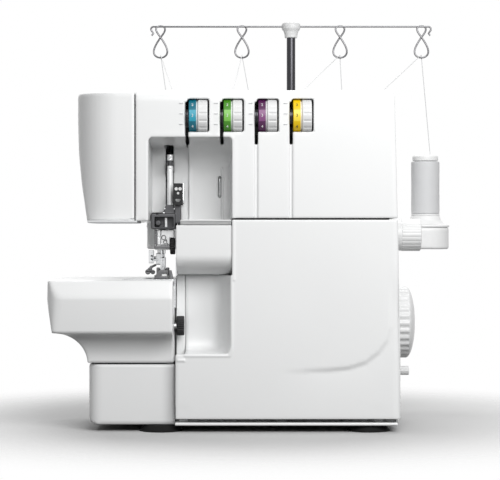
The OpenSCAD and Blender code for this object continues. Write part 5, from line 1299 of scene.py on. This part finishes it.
def spools():
    """Each spool: a seat with a wide rim, a core, the wound thread and the pin through them."""
    y = middle("spool_pins").y
    seat_z, core_z, pin_z = low("spool_seats").z, low("spool_cores").z, low("spool_pins").z
    wind_a, wind_b = low("thread_windings").z - core_z, high("thread_windings").z - core_z
    seat_r = (high("spool_seats").y - low("spool_seats").y) / 2
    r = (high("thread_windings").y - low("thread_windings").y) / 2
    seat_h, core_h, pin_h = core_z - seat_z, high("spool_cores").z - core_z, high("spool_pins").z - pin_z
    neck, bore = r * 0.55, 2.9
    seat = [(2.6, 0), (seat_r, 0), (seat_r, 2.2), (r + 5.4, 3.4), (r + 1.8, seat_h * 0.6), (r, seat_h),
            (2.6, seat_h)]
    core = [(bore, 0), (r, 0), (r, 1.6), (neck, 2.4), (neck, wind_b), (r - 1.4, wind_b + 0.8),
            (r - 1.4, core_h - 1.4), (r - 2.6, core_h), (bore, core_h)]
    pin = [(0, 0), (2.5, 0), (2.5, pin_h - 2.2), (1.4, pin_h), (0, pin_h)]
    seat, core, pin = rounded_profile(seat, 1.0), rounded_profile(core, 0.5), rounded_profile(pin, 0.8)
    rows = 150
    wound = [(neck, wind_a)]
    for k in range(rows + 1):
        t = k / rows
        ends = math.sqrt(max(min(1, t / 0.02, (1 - t) / 0.02), 0))
        swell = 0.22 * math.sin(9.5 * t) - 0.25 * math.cos(23 * t + 1) * 0.5
        ridge = 0.07 if k % 2 else -0.07
        wound.append((r - 0.6 + 0.5 * ends + 0.3 * swell + ridge, wind_a + (wind_b - wind_a) * t))
    wound.append((neck, wind_b))
    for i, x in enumerate(spool_places()):
        lathe(f"spool_seat_{i}", seat, "z", (x, y, seat_z), SEAT_WHITE, stands_for=["spool_seats"], steps=96)
        lathe(f"spool_core_{i}", core, "z", (x, y, core_z), SEAT_WHITE, stands_for=["spool_cores"], steps=72)
        lathe(f"thread_winding_{i}", wound, "z", (x, y, core_z), THREAD, stands_for=["thread_windings"],
              steps=96, crease=60)
        lathe(f"spool_pin_{i}", pin, "z", (x, y, pin_z), CHROME, stands_for=["spool_pins"], steps=32)


def guide_places():
    a, b, pole = low("antenna_head"), high("antenna_head"), middle("antenna_upper_tube")
    outer = (b.x - a.x) / 2 - 10.8
    inner = 50.5
    return [pole.x - outer, pole.x - inner, pole.x + inner, pole.x + outer]


def antenna():
    """The two tubes, and the head: a cap, a bar with hooked ends, and four bow-shaped wire guides."""
    x, y = middle("antenna_upper_tube")[:2]
    a, b = span("antenna_lower_tube")
    r, h, bore = (b.y - a.y) / 2, b.z - a.z, 4.5
    waist = r - 0.35
    outer = [(bore, 3.9), (bore, h), (r, h), (r, h - 6), (waist, h - 6.6), (waist, h - 9), (r, h - 9.6),
             (r, 0), (0, 0), (0, 3.9)]
    # the tubes are polished steel painted dark, as a painted reflection of dark surroundings
    lathe("antenna_lower_tube", rounded_profile(outer, 0.25), "z", (x, y, a.z), PAINTED_DARK_STEEL)
    a, b = span("antenna_upper_tube")
    lathe("antenna_upper_tube", disc((b.y - a.y) / 2, b.z - a.z), "z", (x, y, a.z), PAINTED_DARK_STEEL, "antenna")
    top = high("antenna_head").z
    base = top - 15.4
    cap = [(0, base), (6.4, base), (6.6, base + 3), (7.4, base + 6.4), (9.6, base + 9.4), (9.8, top - 2.4),
           (8.6, top), (0, top)]
    head = {"body": "antenna", "stands_for": ["antenna_head"]}
    lathe("antenna_cap", rounded_profile(cap, 0.9), "z", (x, y, 0), SHADED_KNOB_WHITE, slot="steel_bright", **head)
    bar_z, wire_d, hook = top - 3.7, 1.9, 2.6
    places = guide_places()
    left, right = places[0] - 7.2, places[3] + 7.2

    def end_hook(edge, way):
        turned = [(edge + way * hook * math.sin(t), y, bar_z - hook + hook * math.cos(t))
                  for t in np.linspace(0, 2.4, 10)]
        tail = turned[-1]
        return turned + [(tail[0] - way * 1.6, y, tail[2] - 2.6), (tail[0] + way * 0.2, y, tail[2] - 4.6)]

    bar = list(reversed(end_hook(left, -1)))
    bar += [(left + (right - left) * k / 20, y, bar_z) for k in range(1, 20)] + end_hook(right, 1)
    # the bar and the guides are bright wire painted dark grey, as a painted reflection
    tube("antenna_bar", [bar], wire_d, PAINTED_DARK_WIRE, sides=12, **head)
    loops = []
    for gx in places:
        loop = []
        for k in range(73):
            t = 2 * math.pi * k / 72
            width, height = (4.6, 11.6) if math.cos(t) > 0 else (7.0, 21.0)
            side, rise = width * math.sin(2 * t), height * math.cos(t)
            loop.append((gx + side, y + 0.98 * math.sin(t), top - 14.6 + rise))
        loops.append(loop)
    tube("antenna_guides", loops, wire_d, PAINTED_DARK_WIRE, "antenna", sides=12)


def threads():
    """Taut threads from each spool up through its guide, and down to the rail on the body."""
    y, start_z = middle("spool_pins").y, high("spool_cores").z
    rail_y, rail_top = middle("thread_rail").y, high("thread_rail").z
    top_z = high("threads").z - 0.4
    rises, falls = [], []
    for x, gx, ex in zip(spool_places(), guide_places(), THREAD_EYES):
        bend = (gx, y + 2.2, top_z)
        rises.append([(x + 5, y, start_z + 0.3), bend])
        falls.append([bend, (ex, rail_y, rail_top + 0.6)])
    up = tube("threads_up", rises, 0.75, THREAD, stands_for=["threads"], sides=8)
    down = tube("threads_down", falls, 0.75, THREAD, sides=8)
    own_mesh(up)
    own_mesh(down)


def thread_rail():
    a, b = span("thread_rail")
    form = box(a, b, 0.6)
    for x in THREAD_EYES:
        form = form.cut(rod("z", (x, middle("thread_rail").y), 2.4, a.z - 3, b.z + 3, 0), 0.5)
    moulded("thread_rail", form, a, b, 0.5, BRUSHED)


def presser_lifter():
    a, b = span("presser_lifter")
    x, z = LIFTER
    y = middle("presser_bar").y
    handle = prism("y", arc(x, z, 8, 0, 180, 14) + arc(x, z - 34, 6, 180, 360, 14), REAR + 2.4, b.y, 1.4)
    shaft = rod("y", LIFTER, 5, a.y, b.y - 2, 0.4)
    cam = box((x, y - 2, z - 2.4), (x + 7, y + 3, z + 2.4), 0.6)
    form = handle.join(shaft, 1).join(cam, 0.4)
    moulded("presser_lifter", form, a, b, 0.6, WHITE, "presser_lifter", slot="shell_grey")


def inner_parts():
    """CAD nodes that stay as they are inside the covers, each with its own finish; the tension bracket and
    discs are painted dark, as shade in the slots where they show.
    """
    finishes = [
        (ALLOY, "machine_frame"),
        (CHROME, "main_shaft upper_looper lower_looper hinge_rod"),
        # painted shade: the tension bracket is dark as shade in the slots where it shows
        (DARK_CAST_AND_SHADE, "shaft_pulley motor needle_arm tension_bracket"),
        (BRUSHED, "motor_pulley feed_dog upper_knife lower_knife"),
        (RUBBER, "timing_belt"),
        (PAINTED_DARK_STEEL, "tension_discs"),
    ]
    for material, nodes in finishes:
        for node in nodes.split():
            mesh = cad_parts[node].data
            mesh.materials.clear()
            mesh.materials.append(material)
# painted shade: the tension discs are dark as shade in the slots where they show


# ---- room, light and camera ----

# painted shade: the grey the camera sees on the floor near the machine darkens it round the machine, on top
# of the real shadow
PAINTED_FLOOR_SHADE = 0.55
FLOOR_BOUNCE = 0.10
SKY = 0.34
# metres from the origin, between which the floor's painted grey shade round the machine fades out into the
# white
PAINTED_SHADE_FADE = (0.18, 0.44)


def seen_rays(tree):
    """1 for what the camera sees, also in metal and glass, and 0 for the rest."""
    path = shader_node(tree, "LightPath")
    source = path.outputs["Is Camera Ray"]
    for ray in ("Is Glossy Ray", "Is Transmission Ray"):
        source = combine(tree, "MAXIMUM", source, path.outputs[ray])
    return source


def combine(tree, operation, first, second):
    node = shader_node(tree, "Math")
    node.operation = operation
    tree.links.new(first, node.inputs[0])
    tree.links.new(second, node.inputs[1])
    return node.outputs[0]


def to_camera(tree, socket, other, seen):
    """Feeds a socket one value for what the camera sees, and another for the rest."""
    spread = shader_node(tree, "MapRange", To_Min=other, To_Max=seen)
    tree.links.new(seen_rays(tree), spread.inputs["Value"])
    tree.links.new(spread.outputs["Result"], socket)


def room():
    mesh = bpy.data.meshes.new("floor")
    half = 8.0
    corners = [(-half, -half, 0), (half, -half, 0), (half, half, 0), (-half, half, 0)]
    mesh.from_pydata(corners, [], [(0, 1, 2, 3)])
    material, node = shader("floor", (0.92, 0.92, 0.92), 0.9, specular=0.0)
    tree = material.node_tree
    to_camera(tree, node.inputs["Base Color"], FLOOR_BOUNCE, PAINTED_FLOOR_SHADE)
    # painted shade: the floor is grey round the machine and fades out into the white further off
    place = shader_node(tree, "TexCoord")
    reach = shader_node(tree, "VectorMath")
    reach.operation = "LENGTH"
    tree.links.new(place.outputs["Object"], reach.inputs[0])
    start, end = PAINTED_SHADE_FADE
    fade = shader_node(tree, "MapRange", From_Min=start, From_Max=end)
    fade.interpolation_type = "SMOOTHSTEP"
    tree.links.new(reach.outputs["Value"], fade.inputs["Value"])
    mixed = shader_node(tree, "MixShader")
    tree.links.new(combine(tree, "MULTIPLY", fade.outputs["Result"], seen_rays(tree)), mixed.inputs["Fac"])
    tree.links.new(node.outputs["BSDF"], mixed.inputs[1])
    tree.links.new(shader_node(tree, "BsdfTransparent").outputs["BSDF"], mixed.inputs[2])
    tree.links.new(mixed.outputs["Shader"], tree.nodes["Material Output"].inputs["Surface"])
    mesh.materials.append(material)
    obj = bpy.data.objects.new("floor", mesh)
    bpy.context.scene.collection.objects.link(obj)
    world = bpy.data.worlds.new("studio")
    bpy.context.scene.world = world
    world.use_nodes = True
    background = set_inputs(world.node_tree.nodes["Background"], Color=(1, 1, 1, 1))
    to_camera(world.node_tree, background.inputs["Strength"], SKY, 1.0)
    bpy.context.scene.view_settings.view_transform = "Standard"


def lamp(name, kind, place, target, power, shape):
    """A sun of a given angle, or a soft box of a given size, aimed at a target."""
    data = bpy.data.lights.new(name, kind)
    data.energy = power
    if kind == "SUN":
        data.angle = math.radians(shape)
    else:
        data.shape = "RECTANGLE"
        data.size, data.size_y = shape
    obj = bpy.data.objects.new(name, data)
    obj.location = place
    obj.rotation_euler = (Vector(target) - Vector(place)).to_track_quat("-Z", "Y").to_euler()
    bpy.context.scene.collection.objects.link(obj)


def lights():
    lamp("key", "AREA", (0.35, -0.95, 0.7), (0, 0, 0.17), 11.7, (0.9, 0.6))
    lamp("back", "SUN", (-0.2, 1.2, 1.8), (0, 0, 0), 1.9, 50)


def camera():
    data = bpy.data.cameras.new("camera")
    data.lens = 128
    data.sensor_width = 36
    obj = bpy.data.objects.new("camera", data)
    obj.location = (-0.011, -1.720, 0.1737)
    obj.rotation_euler = (math.radians(90), 0, 0)
    bpy.context.scene.collection.objects.link(obj)
    bpy.context.scene.camera = obj


PIECES = (
    front_cover, rear_cover, face_cover, knife_guard, cloth_cover, looper_cover, base_pan, base_box,
    hinge_brackets, rubber_feet, tension_dials, dial_ticks, handwheel, side_controls, power_parts,
    cover_screws, needle_drive, guide_casting, thread_guide_plate, take_up_eye, presser_parts, presser_foot,
    left_brackets, needle_plate, sewing_lamp, spool_stand, spools, antenna, threads, thread_rail,
    presser_lifter, inner_parts, room, lights, camera,
)
for piece in PIECES:
    piece()
